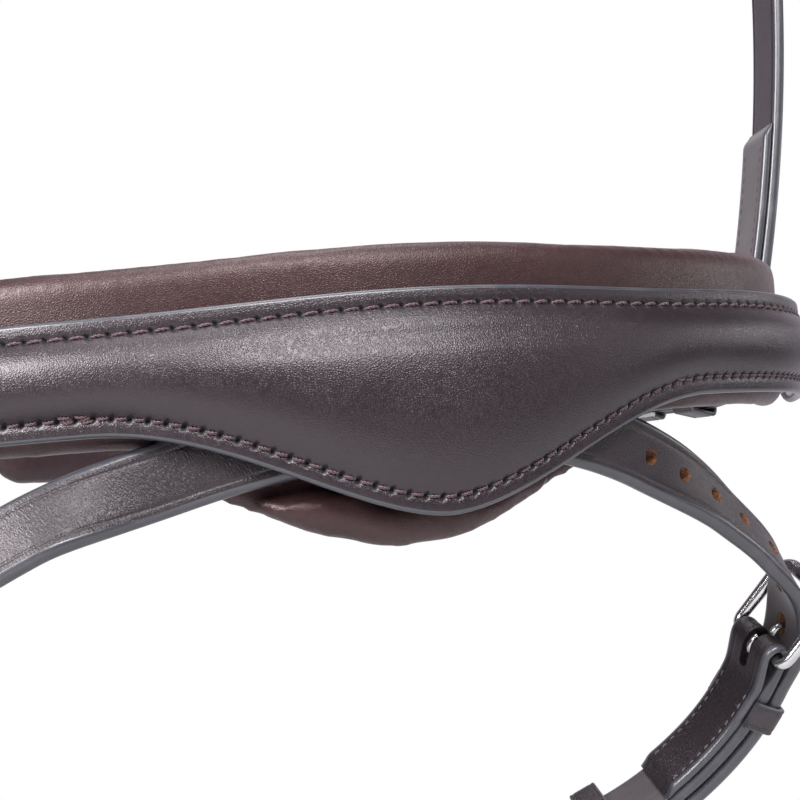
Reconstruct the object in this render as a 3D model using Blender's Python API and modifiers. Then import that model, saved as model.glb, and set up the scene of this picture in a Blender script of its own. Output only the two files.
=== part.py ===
"""Flash noseband of a bridle: raised front with a drop, padded lining, chin strap, flash strap and headpiece.

Metres, +Z up. The front of the noseband faces -Y and the horse's near (left) side is +X. The parts are shaped about
the middle of the front, and then hung from the origin, which is where the headpiece rests on the poll.

Every strap and pad is drawn flat, as a saddler cuts it: s runs along the strap, v across it and o outwards from it.
It is then laid on the line that it follows when the noseband is worn.
"""

import math

import bmesh
import bpy
from mathutils import Matrix, Vector

COLLECTION_NAME = "flash_noseband"
CUTTER_COLLECTION_NAME = "cutters"

# The noseband's ring, seen from above, is an ellipse whose middle line climbs from the nose to the chin
RING_HALF_WIDTH = 0.136
RING_HALF_DEPTH = 0.090
RING_FRONT_DROP = 0.0108
RING_CLIMB = 0.0170
RING_CLIMB_REACH = 0.090
RING_BACK_CLIMB = 0.0065
RING_BACK_FROM = 0.070
RING_LEAN_SHARE = 0.11

# Gaps that touching pieces keep, and the overrun of cuts
SEAT_GAP = 0.0003
CUT_OVERRUN = 0.004
BEND_STEP = 0.0080
SLIP_BEND_STEP = 0.0160
BUCKLE_REACH = 0.0260

# Outer leather of the front: two seams, a margin outside them and a crown between them
SIDE_SEAM_SPACING = 0.0170
SEAM_MARGIN = 0.0040
TOP_SWELL = 0.0023
TOP_SWELL_REACH = 0.075
DROP_DEPTH = 0.0221
DROP_REACH = 0.077
DROP_POWER_SHARE = 0.87
FRONT_HALF_LENGTH = 0.172
FRONT_THICKNESS = 0.0022
FRONT_END_ROUND = 0.012
FRONT_END_NARROW_SHARE = 0.45
FRONT_END_POWER_SHARE = 2.5
CROWN_HEIGHT = 0.0036
DROP_CROWN_EXTRA = 0.0012
CROWN_POWER_SHARE = 2.4
FILLER_INSET = 0.0030
FILLER_HALF_LENGTH = 0.146

# Backing behind the filler
BACKING_THICKNESS = 0.0018
BACKING_INSET = 0.0008
BACKING_HALF_LENGTH = 0.150

# Padded lining
PAD_HALF_LENGTH = 0.141
PAD_THICKNESS = 0.0104
PAD_TOP_SHOW = 0.0105
PAD_LOW_SHOW = 0.0030
PAD_DROP_EXTRA_SHOW = 0.0030
PAD_DROP_EXTRA_FROM = 0.042
PAD_DROP_EXTRA_TO = 0.066
PAD_BACK_CROWN = 0.0010
PAD_SKIN = 0.0010
PAD_SLIT_LOW = 0.0025
PAD_SLIT_TOP = 0.0085
PAD_CHANNEL_TOP = 0.0015
PAD_CHANNEL_EASE = 0.0040
PAD_CHANNEL_HALF_LENGTH = 0.064
PAD_CHANNEL_RUNOUT = 0.018
PAD_LIP_CLEARANCE = 0.0026
PAD_LIP_EASE = 0.0050
PAD_STEP = 0.0006
PAD_END_SHARES = (0.62, 1.0)

# Straps
NOSE_STRAP_WIDTH = 0.0200
NOSE_STRAP_THICKNESS = 0.0030
FLASH_WIDTH = 0.0160
FLASH_THICKNESS = 0.0040
SLIP_WIDTH = 0.0160
SLIP_THICKNESS = 0.0030
STRAP_EDGE_ROUND = 0.0006
TURNBACK_THICKNESS = 0.0025
TURNBACK_SKIVE = 0.0040
TURNBACK_END_THICKNESS = 0.0007
WRAP_THICKNESS = 0.0020
WRAP_RUNOUT = 0.0060
POINT_LENGTH = 0.0150
POINT_WIDTH_SHARE = 0.42
HOLE_DIAMETER = 0.0037
USED_HOLE_LENGTH = 0.0056

# Buckles: a D-shaped frame and a cranked tongue on its heel bar
BAR_RADIUS = 0.0015
BAR_CLEARANCE = 0.0003
FRAME_FRONT_SWELL_SHARE = 1.25
FRAME_SIDE_CLEARANCE = 0.0010
FRAME_CORNER_RADIUS = 0.0045
FRAME_HEEL_RADIUS = 0.0022
FRAME_LIFT_CLEARANCE = 0.0006
TONGUE_RADIUS = 0.0009
TONGUE_CLEARANCE = 0.00025
TONGUE_SLOT_WIDTH = 0.0032
TONGUE_SLOT_REACH = 0.0060
TONGUE_OVERHANG = 0.0016
TONGUE_CRANK = 0.0049
TONGUE_RISE_SHARES = ((0.55, 1.08), (0.92, 1.50), (1.10, 2.25))
TONGUE_CREST_SHARES = ((1.35, 0.93), (1.75, 1.00))
TONGUE_TIP_SHARE = 0.7
TONGUE_COIL_DEGREES = (-150, 90, 24)
BILLET_RISE = 0.0013
BILLET_SETTLE = 0.0080

# Keepers: a fixed one whose ends are sewn in at the fold's edges, and a loose one round the whole strap
KEEPER_THICKNESS = 0.0015
KEEPER_CLEARANCE = 0.0006
KEEPER_LENGTH = 0.0070

# Chin closure, by distance round the ring from the middle of the nose
NEAR_CHAPE_START = BACKING_HALF_LENGTH + SEAT_GAP
NOSE_BAR_AT = 0.2390
NOSE_TURNBACK_LENGTH = 0.0480
NOSE_TAIL_LENGTH = 0.0480
NOSE_BILLET_RUNOUT = 0.0300
NOSE_FRAME_LENGTH = 0.0210
NOSE_FIXED_KEEPER_FROM_BAR = 0.0150
NOSE_SLIDING_KEEPER_FROM_BAR = 0.0320
NOSE_HOLE_PITCH = 0.0250
NOSE_HOLES_AHEAD_COUNT = 3
NOSE_HOLES_BEHIND_COUNT = 1
CHIN_PAD_LENGTH = 0.160
CHIN_PAD_WIDTH = 0.0320
CHIN_PAD_THICKNESS = 0.0090
CHIN_PAD_SLIT_WIDTH = 0.0080
CHIN_PAD_SLIT_HALF_LENGTH = 0.061
CHIN_PAD_END_ROUND = 0.0100
CHIN_PAD_END_THICKNESS_SHARE = 0.40
CHIN_PAD_END_WIDTH_SHARE = 0.45
PAD_END_FULLEST_SHARE = 0.96

# Flash strap: an ellipse that hangs from the front, twisted as it goes round
FLASH_HEIGHT = -0.0244
FLASH_LEFT_REACH = 0.1235
FLASH_RIGHT_REACH = 0.0933
FLASH_HALF_DEPTH = 0.0641
FLASH_TILT_DEGREES = 52.0
FLASH_LEFT_TWIST_DEGREES = ((0.0, 42.0), (20.0, 42.0), (46.0, 29.0), (69.0, 4.0), (90.0, 0.0), (120.0, 8.0),
                            (180.0, 2.0))
FLASH_RIGHT_TWIST_DEGREES = ((0.0, 18.0), (20.0, 18.0), (46.0, 21.0), (69.0, 20.0), (90.0, -4.0), (120.0, 4.0),
                             (180.0, 2.0))
FLASH_HUG_HALF_WIDTH = 0.056
FLASH_FREE_HALF_WIDTH = 0.088
FLASH_BAR_AT = 0.1290
FLASH_BAR_INSIDE = 0.0025
FLASH_BILLET_RUNOUT = 0.0450
FLASH_BACK_RUNOUT = 0.0700
FLASH_TURNBACK_LENGTH = 0.0440
FLASH_TAIL_LENGTH = 0.0720
FLASH_FRAME_LENGTH = 0.0180
FLASH_FIXED_KEEPER_FROM_BAR = 0.0148
FLASH_SLIDING_KEEPER_FROM_BAR = 0.0600
FLASH_HOLE_PITCH = 0.0112
FLASH_HOLES_AHEAD_COUNT = 6
FLASH_HOLES_BEHIND_COUNT = 2
LOOP_WIDTH = 0.0220
LOOP_THICKNESS = 0.0016
LOOP_FOOT = 0.0030
LOOP_CLEARANCE = 0.0008

# Headpiece: two sides that rise from the ring and meet over the poll
HANGER_AT = 0.1725
HANGER_LOW = -0.0095
HANGER_STRAIGHT = 0.0215
HANGER_SEAT = 0.0008
SLIP_OUT_SLOPE_SHARE = 0.30
SLIP_FORWARD_SLOPE_SHARE = 0.15
SLIP_SIDE_HANDLE = 0.215
SLIP_POLL_HANDLE = 0.120
POLL_HEIGHT = 0.470
POLL_SETBACK = 0.075
HANGER_TURNBACK = 0.0770
SLIP_BAR_AT = 0.2150
SLIP_TURNBACK_LENGTH = 0.0420
SLIP_TAIL_LENGTH = 0.0660
SLIP_BILLET_RUNOUT = 0.0300
SLIP_FRAME_LENGTH = 0.0185
SLIP_FIXED_KEEPER_FROM_BAR = 0.0135
SLIP_SLIDING_KEEPER_FROM_BAR = 0.0380
SLIP_HOLE_PITCH = 0.0200
SLIP_HOLES_AHEAD_COUNT = 4
SLIP_HOLES_BEHIND_COUNT = 1

# Counts of stations and facets
ROUTE_SAMPLE_COUNT = 1440
FRONT_COLUMN_COUNT = 48
FILLER_COLUMN_COUNT = 30
BACKING_COLUMN_COUNT = 36
PAD_COLUMN_COUNT = 23
PAD_SLIT_SHORTER_COUNT = 3
CHIN_COLUMN_COUNT = 14
ARC_STEP_COUNT = 4
HOLE_SIDE_COUNT = 12
KEEPER_CORNER_STEP_COUNT = 3
FRAME_ARC_STEP_COUNT = 5

# Finishes: base colour, roughness and metallic
DARK_LEATHER = ((0.040, 0.028, 0.031, 1.0), 0.42, 0.0)
STRAP_LEATHER = ((0.048, 0.034, 0.037, 1.0), 0.48, 0.0)
LINING_LEATHER = ((0.105, 0.052, 0.046, 1.0), 0.55, 0.0)
FOAM = ((0.62, 0.58, 0.50, 1.0), 0.90, 0.0)
FILLER_FELT = ((0.30, 0.24, 0.19, 1.0), 0.90, 0.0)
NICKEL = ((0.55, 0.53, 0.50, 1.0), 0.28, 1.0)


def smooth(value, start, end):
    """Ease from 0 at start to 1 at end."""
    share = min(max((value - start) / (end - start), 0.0), 1.0)
    return share * share * (3.0 - 2.0 * share)


def blend(value, table):
    """Value of a smooth curve through the table's (place, amount) pairs."""
    for (place_a, amount_a), (place_b, amount_b) in zip(table, table[1:]):
        if value <= place_b:
            return amount_a + (amount_b - amount_a) * smooth(value, place_a, place_b)
    return table[-1][1]


class Route:
    """A line in space with an across and an outward direction, read by distance along it."""

    def __init__(self, points, acrosses, outwards, distances, closed):
        self.points = points
        self.acrosses = acrosses
        self.outwards = outwards
        self.distances = distances
        self.closed = closed
        self.length = distances[-1] - distances[0]

    def find(self, s):
        """Sample before distance s, and the share of the way to the next one."""
        first = self.distances[0]
        if self.closed:
            s = first + (s - first) % self.length
        low, high = 0, len(self.distances) - 2
        while low < high:
            middle = (low + high + 1) // 2
            if self.distances[middle] <= s:
                low = middle
            else:
                high = middle - 1
        span = self.distances[low + 1] - self.distances[low]
        return low, (s - self.distances[low]) / span

    def read(self, s):
        """Point, across and outward directions at distance s."""
        index, share = self.find(s)
        pairs = ((row[index], row[index + 1]) for row in (self.points, self.acrosses, self.outwards))
        return tuple(a.lerp(b, share) for a, b in pairs)

    def place(self, s, v, o):
        """Point of the worn strap for the flat place s, v, o."""
        point, across, outward = self.read(s)
        return point + across * v + outward * o

    def frame(self, s, o, direction=1):
        """Axes at distance s: X along the strap times direction, Z outwards."""
        point, across, outward = self.read(s)
        z_axis = outward.normalized()
        x_axis = across.cross(z_axis).normalized() * direction
        y_axis = z_axis.cross(x_axis)
        matrix = Matrix((x_axis, y_axis, z_axis)).transposed().to_4x4()
        matrix.translation = point + outward * o
        return matrix


def running_lengths(points):
    """Distance along a list of points."""
    lengths = [0.0]
    for a, b in zip(points, points[1:]):
        lengths.append(lengths[-1] + (b - a).length)
    return lengths


def ring_height(depth):
    """Height of the ring's middle line where it lies depth behind the front."""
    back = RING_BACK_CLIMB * smooth(depth, RING_BACK_FROM, 2.0 * RING_HALF_DEPTH)
    return RING_CLIMB * (1.0 - math.exp(-depth / RING_CLIMB_REACH)) + back - RING_FRONT_DROP


def make_ring_route():
    """The noseband's ring, with distance 0 at the middle of the nose."""
    points, acrosses, outwards, plan = [], [], [], []
    for index in range(ROUTE_SAMPLE_COUNT + 1):
        angle = math.pi * (2.0 * index / ROUTE_SAMPLE_COUNT - 1.0)
        x = RING_HALF_WIDTH * math.sin(angle)
        y = RING_HALF_DEPTH * (1.0 - math.cos(angle))
        level = Vector((RING_HALF_DEPTH * math.sin(angle), -RING_HALF_WIDTH * math.cos(angle), 0.0)).normalized()
        along = Vector((-level.y, level.x, 0.0))
        across = Vector((level.x * RING_LEAN_SHARE, level.y * RING_LEAN_SHARE, 1.0)).normalized()
        height = ring_height(y)
        plan.append(Vector((x, y, 0.0)))
        points.append(Vector((x, y, height)) + level * RING_LEAN_SHARE * height)
        acrosses.append(across)
        outwards.append(along.cross(across))
    lengths = running_lengths(plan)
    middle = lengths[ROUTE_SAMPLE_COUNT // 2]
    return Route(points, acrosses, outwards, [length - middle for length in lengths], closed=True)


def flash_hang(x):
    """How far the flash strap's line has gone back along its plane where its X is x, up to its widest places."""
    reach = FLASH_RIGHT_REACH if x > 0.0 else FLASH_LEFT_REACH
    return FLASH_HALF_DEPTH * (1.0 - math.sqrt(max(1.0 - (x / reach) ** 2, 0.0)))


def flash_level(s):
    """Height across the noseband at which the flash strap passes behind it at distance s."""
    point, across, _ = RING.read(s)
    height = FLASH_HEIGHT - flash_hang(point.x) * math.sin(math.radians(FLASH_TILT_DEGREES))
    return (height - point.z) / across.z


def ring_distance(x):
    """Distance round the front of the ring to the place whose X is x."""
    low, high = -RING.length / 4.0, RING.length / 4.0
    for _ in range(40):
        middle = (low + high) / 2.0
        if RING.read(middle)[0].x < x:
            low = middle
        else:
            high = middle
    return (low + high) / 2.0


def frames_from(points, acrosses, closed):
    """Route through points, with each across direction squared to the line."""
    lengths = running_lengths(points)
    squared, outwards = [], []
    last = len(points) - 1
    for index, across in enumerate(acrosses):
        before = points[index - 1] if index > 0 else points[last - 1 if closed else 0]
        after = points[index + 1] if index < last else points[1 if closed else last]
        along = (after - before).normalized()
        across = (across - along * across.dot(along)).normalized()
        squared.append(across)
        outwards.append(along.cross(across))
    return squared, outwards, lengths


def make_flash_route():
    """The flash strap's loop: it hugs the back of the front, then hangs free round the chin."""
    tilt = math.radians(FLASH_TILT_DEGREES)
    plane_up = Vector((0.0, math.sin(tilt), math.cos(tilt)))
    start = RING.place(0.0, flash_level(0.0), FLASH_CENTRE_O)
    points, acrosses = [], []
    for index in range(ROUTE_SAMPLE_COUNT + 1):
        angle = math.pi * (2.0 * index / ROUTE_SAMPLE_COUNT - 1.0)
        reach = FLASH_RIGHT_REACH if angle > 0.0 else FLASH_LEFT_REACH
        depth = FLASH_HALF_DEPTH * (1.0 - math.cos(angle))
        hanging = Vector((reach * math.sin(angle), start.y + depth * math.cos(tilt),
                          start.z - depth * math.sin(tilt)))
        along = Vector((reach * math.cos(angle), FLASH_HALF_DEPTH * math.sin(angle) * math.cos(tilt),
                        -FLASH_HALF_DEPTH * math.sin(angle) * math.sin(tilt))).normalized()
        outward = along.cross(plane_up)
        twists = FLASH_RIGHT_TWIST_DEGREES if angle > 0.0 else FLASH_LEFT_TWIST_DEGREES
        twist = math.radians(blend(abs(math.degrees(angle)), twists))
        across = plane_up * math.cos(twist) + outward * math.sin(twist)
        free = smooth(abs(hanging.x), FLASH_HUG_HALF_WIDTH, FLASH_FREE_HALF_WIDTH)
        if depth < FLASH_HALF_DEPTH and free < 1.0:
            s = ring_distance(hanging.x)
            hugging = RING.place(s, flash_level(s), FLASH_CENTRE_O)
            hanging = hugging.lerp(hanging, free)
            across = RING.read(s)[1].lerp(across, free)
        points.append(hanging)
        acrosses.append(across)
    squared, outwards, lengths = frames_from(points, acrosses, closed=True)
    middle = lengths[ROUTE_SAMPLE_COUNT // 2]
    return Route(points, squared, outwards, [length - middle for length in lengths], closed=True)


def make_slip_route():
    """The headpiece from the near side of the ring, over the poll, to the off side."""
    point, across, outward = RING.read(HANGER_AT)
    forward = outward.cross(across).normalized()
    low = RING.place(HANGER_AT, HANGER_LOW, SLIP_CENTRE_O)
    foot = RING.place(HANGER_AT, HANGER_LOW + HANGER_STRAIGHT, SLIP_CENTRE_O)
    leave = Vector((SLIP_OUT_SLOPE_SHARE, -SLIP_FORWARD_SLOPE_SHARE, 1.0)).normalized()
    poll = Vector((0.0, POLL_SETBACK, POLL_HEIGHT))
    handle_a = foot + leave * SLIP_SIDE_HANDLE
    handle_b = poll + Vector((SLIP_POLL_HANDLE, 0.0, 0.0))
    half = []
    steps = ROUTE_SAMPLE_COUNT // 4
    straight_steps = 12
    for index in range(straight_steps):
        half.append(low.lerp(foot, index / straight_steps))
    for index in range(steps + 1):
        t = index / steps
        u = 1.0 - t
        half.append(foot * u ** 3 + handle_a * 3.0 * u * u * t + handle_b * 3.0 * u * t * t + poll * t ** 3)
    points = half + [Vector((-p.x, p.y, p.z)) for p in reversed(half[:-1])]
    front = Vector((0.0, -1.0, 0.0))
    acrosses = []
    for p in points:
        ease = smooth(p.z, low.z, POLL_HEIGHT)
        side = forward if p.x >= 0.0 else Vector((-forward.x, forward.y, forward.z))
        acrosses.append(side.lerp(front, ease))
    squared, outwards, lengths = frames_from(points, acrosses, closed=False)
    return Route(points, squared, outwards, lengths, closed=False)


# Layers of the noseband, outwards from the outer face of the leather at its seams
BACKING_O = -FRONT_THICKNESS - SEAT_GAP
BACKING_INNER_O = BACKING_O - BACKING_THICKNESS
PAD_O = BACKING_INNER_O - SEAT_GAP
FLASH_CENTRE_O = BACKING_INNER_O - SEAT_GAP - FLASH_THICKNESS / 2.0
NOSE_STRAP_CENTRE_O = BACKING_O - NOSE_STRAP_THICKNESS / 2.0
SLIP_CENTRE_O = BACKING_O - NOSE_STRAP_THICKNESS - SEAT_GAP - HANGER_SEAT - SLIP_THICKNESS / 2.0
PAD_CHANNEL_DEPTH = FLASH_THICKNESS + LOOP_THICKNESS + 2.0 * LOOP_CLEARANCE + SEAT_GAP

RING = make_ring_route()
FLASH = make_flash_route()
SLIP = make_slip_route()


def collection_named(name):
    """The scene's collection of that name, made when missing."""
    found = bpy.data.collections.get(name)
    if found is None:
        found = bpy.data.collections.new(name)
        bpy.context.scene.collection.children.link(found)
    return found


def finish_material(name, finish):
    """Principled material from a base colour, a roughness and a metallic value."""
    colour, roughness, metallic = finish
    material = bpy.data.materials.new(name)
    material.use_nodes = True
    shader = material.node_tree.nodes["Principled BSDF"]
    shader.inputs["Base Color"].default_value = colour
    shader.inputs["Roughness"].default_value = roughness
    shader.inputs["Metallic"].default_value = metallic
    material.diffuse_color = colour
    return material


def add_object(name, mesh, finish, smooth_angle=40.0):
    """Object for a sub-part, with a material of its own."""
    mesh.name = name
    obj = bpy.data.objects.new(name, mesh)
    collection_named(COLLECTION_NAME).objects.link(obj)
    mesh.materials.clear()
    mesh.materials.append(finish_material(name, finish))
    mesh.shade_smooth()
    mesh.set_sharp_from_angle(angle=math.radians(smooth_angle))
    return obj


def mesh_from(bm, name):
    """Mesh made of a bmesh, which is freed, with its faces turned outwards."""
    bmesh.ops.recalc_face_normals(bm, faces=bm.faces)
    if bm.calc_volume(signed=True) < 0.0:
        bmesh.ops.reverse_faces(bm, faces=bm.faces)
    mesh = bpy.data.meshes.new(name)
    bm.to_mesh(mesh)
    bm.free()
    return mesh


def curve_to_mesh(curve, name):
    """Closed mesh of a curve, with its caps welded on."""
    obj = bpy.data.objects.new(name, curve)
    bpy.context.scene.collection.objects.link(obj)
    graph = bpy.context.evaluated_depsgraph_get()
    mesh = bpy.data.meshes.new_from_object(obj.evaluated_get(graph))
    bpy.data.objects.remove(obj)
    bpy.data.curves.remove(curve)
    bm = bmesh.new()
    bm.from_mesh(mesh)
    bmesh.ops.remove_doubles(bm, verts=bm.verts, dist=BAR_CLEARANCE / 100.0)
    bm.to_mesh(mesh)
    bm.free()
    return mesh


def outline_mesh(loops, thickness, name):
    """Slab of the given thickness whose outline is the first loop and whose windows are the others."""
    curve = bpy.data.curves.new(name, "CURVE")
    curve.dimensions = "2D"
    curve.fill_mode = "BOTH"
    curve.extrude = thickness / 2.0
    for loop in loops:
        spline = curve.splines.new("POLY")
        spline.points.add(len(loop) - 1)
        for point, (x, y) in zip(spline.points, loop):
            point.co = (x, y, 0.0, 1.0)
        spline.use_cyclic_u = True
    return curve_to_mesh(curve, name)


def cut_mesh(mesh, cutters, operation="DIFFERENCE"):
    """Mesh after Boolean operations with cutter meshes, which are used up."""
    obj = bpy.data.objects.new("work", mesh)
    bpy.context.scene.collection.objects.link(obj)
    helpers = []
    for index, cutter_mesh in enumerate(cutters):
        helper = bpy.data.objects.new("cutter", cutter_mesh)
        collection_named(CUTTER_COLLECTION_NAME).objects.link(helper)
        helper.hide_render = True
        helper.display_type = "WIRE"
        modifier = obj.modifiers.new(f"cut_{index}", "BOOLEAN")
        modifier.operation = operation
        modifier.solver = "EXACT"
        modifier.object = helper
        helpers.append(helper)
    graph = bpy.context.evaluated_depsgraph_get()
    result = bpy.data.meshes.new_from_object(obj.evaluated_get(graph))
    for helper in helpers + [obj]:
        bpy.data.objects.remove(helper)
    return result


def round_hole(s, length, depth):
    """Cutter for an oval hole across the strap at s, drawn round when length is its diameter."""
    bm = bmesh.new()
    bmesh.ops.create_cone(bm, cap_ends=True, segments=HOLE_SIDE_COUNT, radius1=HOLE_DIAMETER / 2.0,
                          radius2=HOLE_DIAMETER / 2.0, depth=depth + CUT_OVERRUN)
    stretch = Matrix.Diagonal((length / HOLE_DIAMETER, 1.0, 1.0, 1.0))
    bmesh.ops.transform(bm, matrix=Matrix.Translation((s, 0.0, 0.0)) @ stretch, verts=bm.verts)
    return mesh_from(bm, "hole")


def box_cutter(low, high):
    """Cutter for a box between two corners."""
    bm = bmesh.new()
    bmesh.ops.create_cube(bm, size=1.0)
    low, high = Vector(low), Vector(high)
    size = Matrix.Diagonal((*(high - low), 1.0))
    bmesh.ops.transform(bm, matrix=Matrix.Translation((low + high) / 2.0) @ size, verts=bm.verts)
    return mesh_from(bm, "box")


def bend_stations(lengths, step, bar_s):
    """Even stations between the ends of a strap, closer together beside its buckle's bar."""
    low, high = min(lengths), max(lengths)
    stations = {index * step for index in range(math.floor(low / step) + 1, math.ceil(high / step))}
    close = BEND_STEP / 2.0
    reach = BUCKLE_REACH
    first = math.ceil((bar_s - reach) / close)
    last = math.floor((bar_s + reach) / close)
    stations |= {index * close for index in range(first, last + 1) if low < index * close < high}
    return sorted(stations)


def lay_on(mesh, route, offset_at, width_at, name, bar_s, step=BEND_STEP):
    """Bend a flat piece onto its route, after slicing it at stations so that it bends smoothly."""
    bm = bmesh.new()
    bm.from_mesh(mesh)
    bmesh.ops.dissolve_limit(bm, angle_limit=math.radians(0.5), verts=bm.verts, edges=bm.edges)
    lengths = [vert.co.x for vert in bm.verts]
    nudge = BEND_STEP / 50.0
    for s in bend_stations(lengths, step, bar_s):
        if min(abs(length - s) for length in lengths) < nudge:
            s += 2.0 * nudge
        geometry = bm.verts[:] + bm.edges[:] + bm.faces[:]
        bmesh.ops.bisect_plane(bm, geom=geometry, dist=nudge / 10.0, plane_co=(s, 0.0, 0.0),
                               plane_no=(1.0, 0.0, 0.0))
    large = [face for face in bm.faces if len(face.verts) > 4]
    bmesh.ops.triangulate(bm, faces=large)
    for vert in bm.verts:
        s, v, o = vert.co
        vert.co = route.place(s, v * width_at(s), o + offset_at(s))
    return mesh_from(bm, name)


def round_side_edges(mesh, width, name):
    """Take the sharp corner off both long sides of a slab that lies across Y."""
    bm = bmesh.new()
    bm.from_mesh(mesh)
    bmesh.ops.dissolve_limit(bm, angle_limit=math.radians(0.5), verts=bm.verts, edges=bm.edges)
    side_edges = []
    for edge in bm.edges:
        on_side = all(abs(abs(vert.co.y) - width / 2.0) < SEAT_GAP / 10.0 for vert in edge.verts)
        if on_side and len(edge.link_faces) == 2 and edge.calc_face_angle() > math.radians(60.0):
            side_edges.append(edge)
    bmesh.ops.bevel(bm, geom=side_edges, offset=STRAP_EDGE_ROUND, offset_type="OFFSET", segments=1,
                    affect="EDGES", profile=0.5)
    return mesh_from(bm, name)


def strap_slab(outline, width, name):
    """Flat strap whose side view is drawn by (s, o) points, stood on its width."""
    mesh = outline_mesh([outline], width, name)
    stand_up = Matrix(((1, 0, 0, 0), (0, 0, -1, 0), (0, 1, 0, 0), (0, 0, 0, 1)))
    mesh.transform(stand_up)
    return round_side_edges(mesh, width, name)


def circle_points(centre_s, centre_o, radius, start, end, steps):
    """Points on an arc in the strap's side view, with angles in degrees."""
    points = []
    for index in range(steps + 1):
        angle = math.radians(start + (end - start) * index / steps)
        points.append((centre_s + radius * math.cos(angle), centre_o + radius * math.sin(angle)))
    return points


def fold_outline(bar_s, direction, thickness, turnback_length):
    """Side view of a strap end folded round a buckle bar.

    The points run from the outer face, round the bar, to the end of the turned back layer on the inner face.
    direction is 1 when the strap leaves the bar towards larger s.
    """
    bar_o = -thickness / 2.0
    wrap_radius = BAR_RADIUS + BAR_CLEARANCE + WRAP_THICKNESS
    inner_o = bar_o - TURNBACK_THICKNESS
    skive_s = turnback_length - TURNBACK_SKIVE
    arc = circle_points(0.0, bar_o, wrap_radius, 84.0, 276.0, 9)
    local = [(wrap_radius + WRAP_RUNOUT, thickness / 2.0)] + arc
    local += [(wrap_radius + WRAP_RUNOUT, inner_o), (skive_s, inner_o)]
    local += [(turnback_length, bar_o - TURNBACK_END_THICKNESS), (turnback_length, bar_o)]
    return [(bar_s + direction * x, o) for x, o in local]


def fold_cutters(bar_s, direction, thickness, width):
    """Cutters for the bar's tunnel through a fold and for the slot in which the tongue works."""
    bm = bmesh.new()
    radius = BAR_RADIUS + BAR_CLEARANCE
    bmesh.ops.create_cone(bm, cap_ends=True, segments=HOLE_SIDE_COUNT, radius1=radius, radius2=radius,
                          depth=width + CUT_OVERRUN)
    turn = Matrix.Rotation(math.pi / 2.0, 4, "X") @ Matrix.Rotation(math.pi / HOLE_SIDE_COUNT, 4, "Z")
    bmesh.ops.transform(bm, matrix=Matrix.Translation((bar_s, 0.0, -thickness / 2.0)) @ turn, verts=bm.verts)
    tunnel = mesh_from(bm, "tunnel")
    reach = BAR_RADIUS + BAR_CLEARANCE + WRAP_THICKNESS + CUT_OVERRUN
    ends = sorted((bar_s - direction * reach, bar_s + direction * TONGUE_SLOT_REACH))
    low = (ends[0], -TONGUE_SLOT_WIDTH / 2.0, -thickness - reach)
    high = (ends[1], TONGUE_SLOT_WIDTH / 2.0, thickness + reach)
    return [tunnel, box_cutter(low, high)]


def hole_cutters(bar_s, direction, pitch, ahead, behind, thickness):
    """Cutters for a row of strap holes, of which the tongue's is drawn oval."""
    cutters = []
    for index in range(-behind, ahead + 1):
        s = bar_s - direction * (TONGUE_CRANK + index * pitch)
        cutters.append(round_hole(s, USED_HOLE_LENGTH if index == 0 else HOLE_DIAMETER, thickness))
    return cutters


def pointed(tip_s, direction):
    """Width factor of a strap that narrows to a point at tip_s, reached by going in direction."""
    def width_at(s):
        left = (tip_s - s) * direction / POINT_LENGTH
        if left >= 1.0:
            return 1.0
        return POINT_WIDTH_SHARE + (1.0 - POINT_WIDTH_SHARE) * math.sqrt(max(1.0 - (1.0 - left) ** 2, 0.0))
    return width_at


def full_width(_s):
    """Width factor of a strap with straight sides."""
    return 1.0


def drop_shape(s):
    """Share of the drop's depth at distance s from its middle."""
    share = min(abs(s) / DROP_REACH, 1.0)
    return 0.5 + 0.5 * math.cos(math.pi * share ** DROP_POWER_SHARE)


def top_seam(s):
    """Height of the upper seam above the ring's middle line."""
    share = min(abs(s) / TOP_SWELL_REACH, 1.0)
    return SIDE_SEAM_SPACING / 2.0 + TOP_SWELL * (0.5 + 0.5 * math.cos(math.pi * share))


def low_seam(s):
    """Height of the lower seam, below the ring's middle line."""
    return -SIDE_SEAM_SPACING / 2.0 - DROP_DEPTH * drop_shape(s)


def crown(s, v):
    """How far the leather stands out between the seams."""
    high, low = top_seam(s), low_seam(s)
    inside = min(v - low, high - v) / ((high - low) / 2.0)
    if inside <= 0.0:
        return 0.0
    height = CROWN_HEIGHT + DROP_CROWN_EXTRA * drop_shape(s)
    return height * (1.0 - (1.0 - inside) ** CROWN_POWER_SHARE)


def under_crown(s, v):
    """Offset of a layer that lies just inside the leather's inner face."""
    reach = SEAT_GAP
    slope = (crown(s, v + reach) - crown(s, v - reach)) / (2.0 * reach)
    return crown(s, v) - (FRONT_THICKNESS + SEAT_GAP) * math.sqrt(1.0 + slope * slope)


def mapped_grid(columns, rows, place, name):
    """Open grid whose vertex in column i and row j lies at place(i, j)."""
    bm = bmesh.new()
    bmesh.ops.create_grid(bm, x_segments=columns, y_segments=rows, size=1.0)
    for vert in bm.verts:
        column = round((vert.co.x + 1.0) / 2.0 * columns)
        row = round((vert.co.y + 1.0) / 2.0 * rows)
        vert.co = place(column, row)
    mesh = bpy.data.meshes.new(name)
    bm.to_mesh(mesh)
    bm.free()
    return mesh


def loft_mesh(rings, name):
    """Closed body through rings of points, capped at both ends."""
    bm = bmesh.new()
    rows = [[bm.verts.new(point) for point in ring] for ring in rings]
    count = len(rings[0])
    for row_a, row_b in zip(rows, rows[1:]):
        for index in range(count):
            after = (index + 1) % count
            bm.faces.new((row_a[index], row_a[after], row_b[after], row_b[index]))
    caps = [bm.faces.new(rows[0]), bm.faces.new(list(reversed(rows[-1])))]
    bm.normal_update()
    bmesh.ops.triangulate(bm, faces=caps)
    return mesh_from(bm, name)


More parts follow.
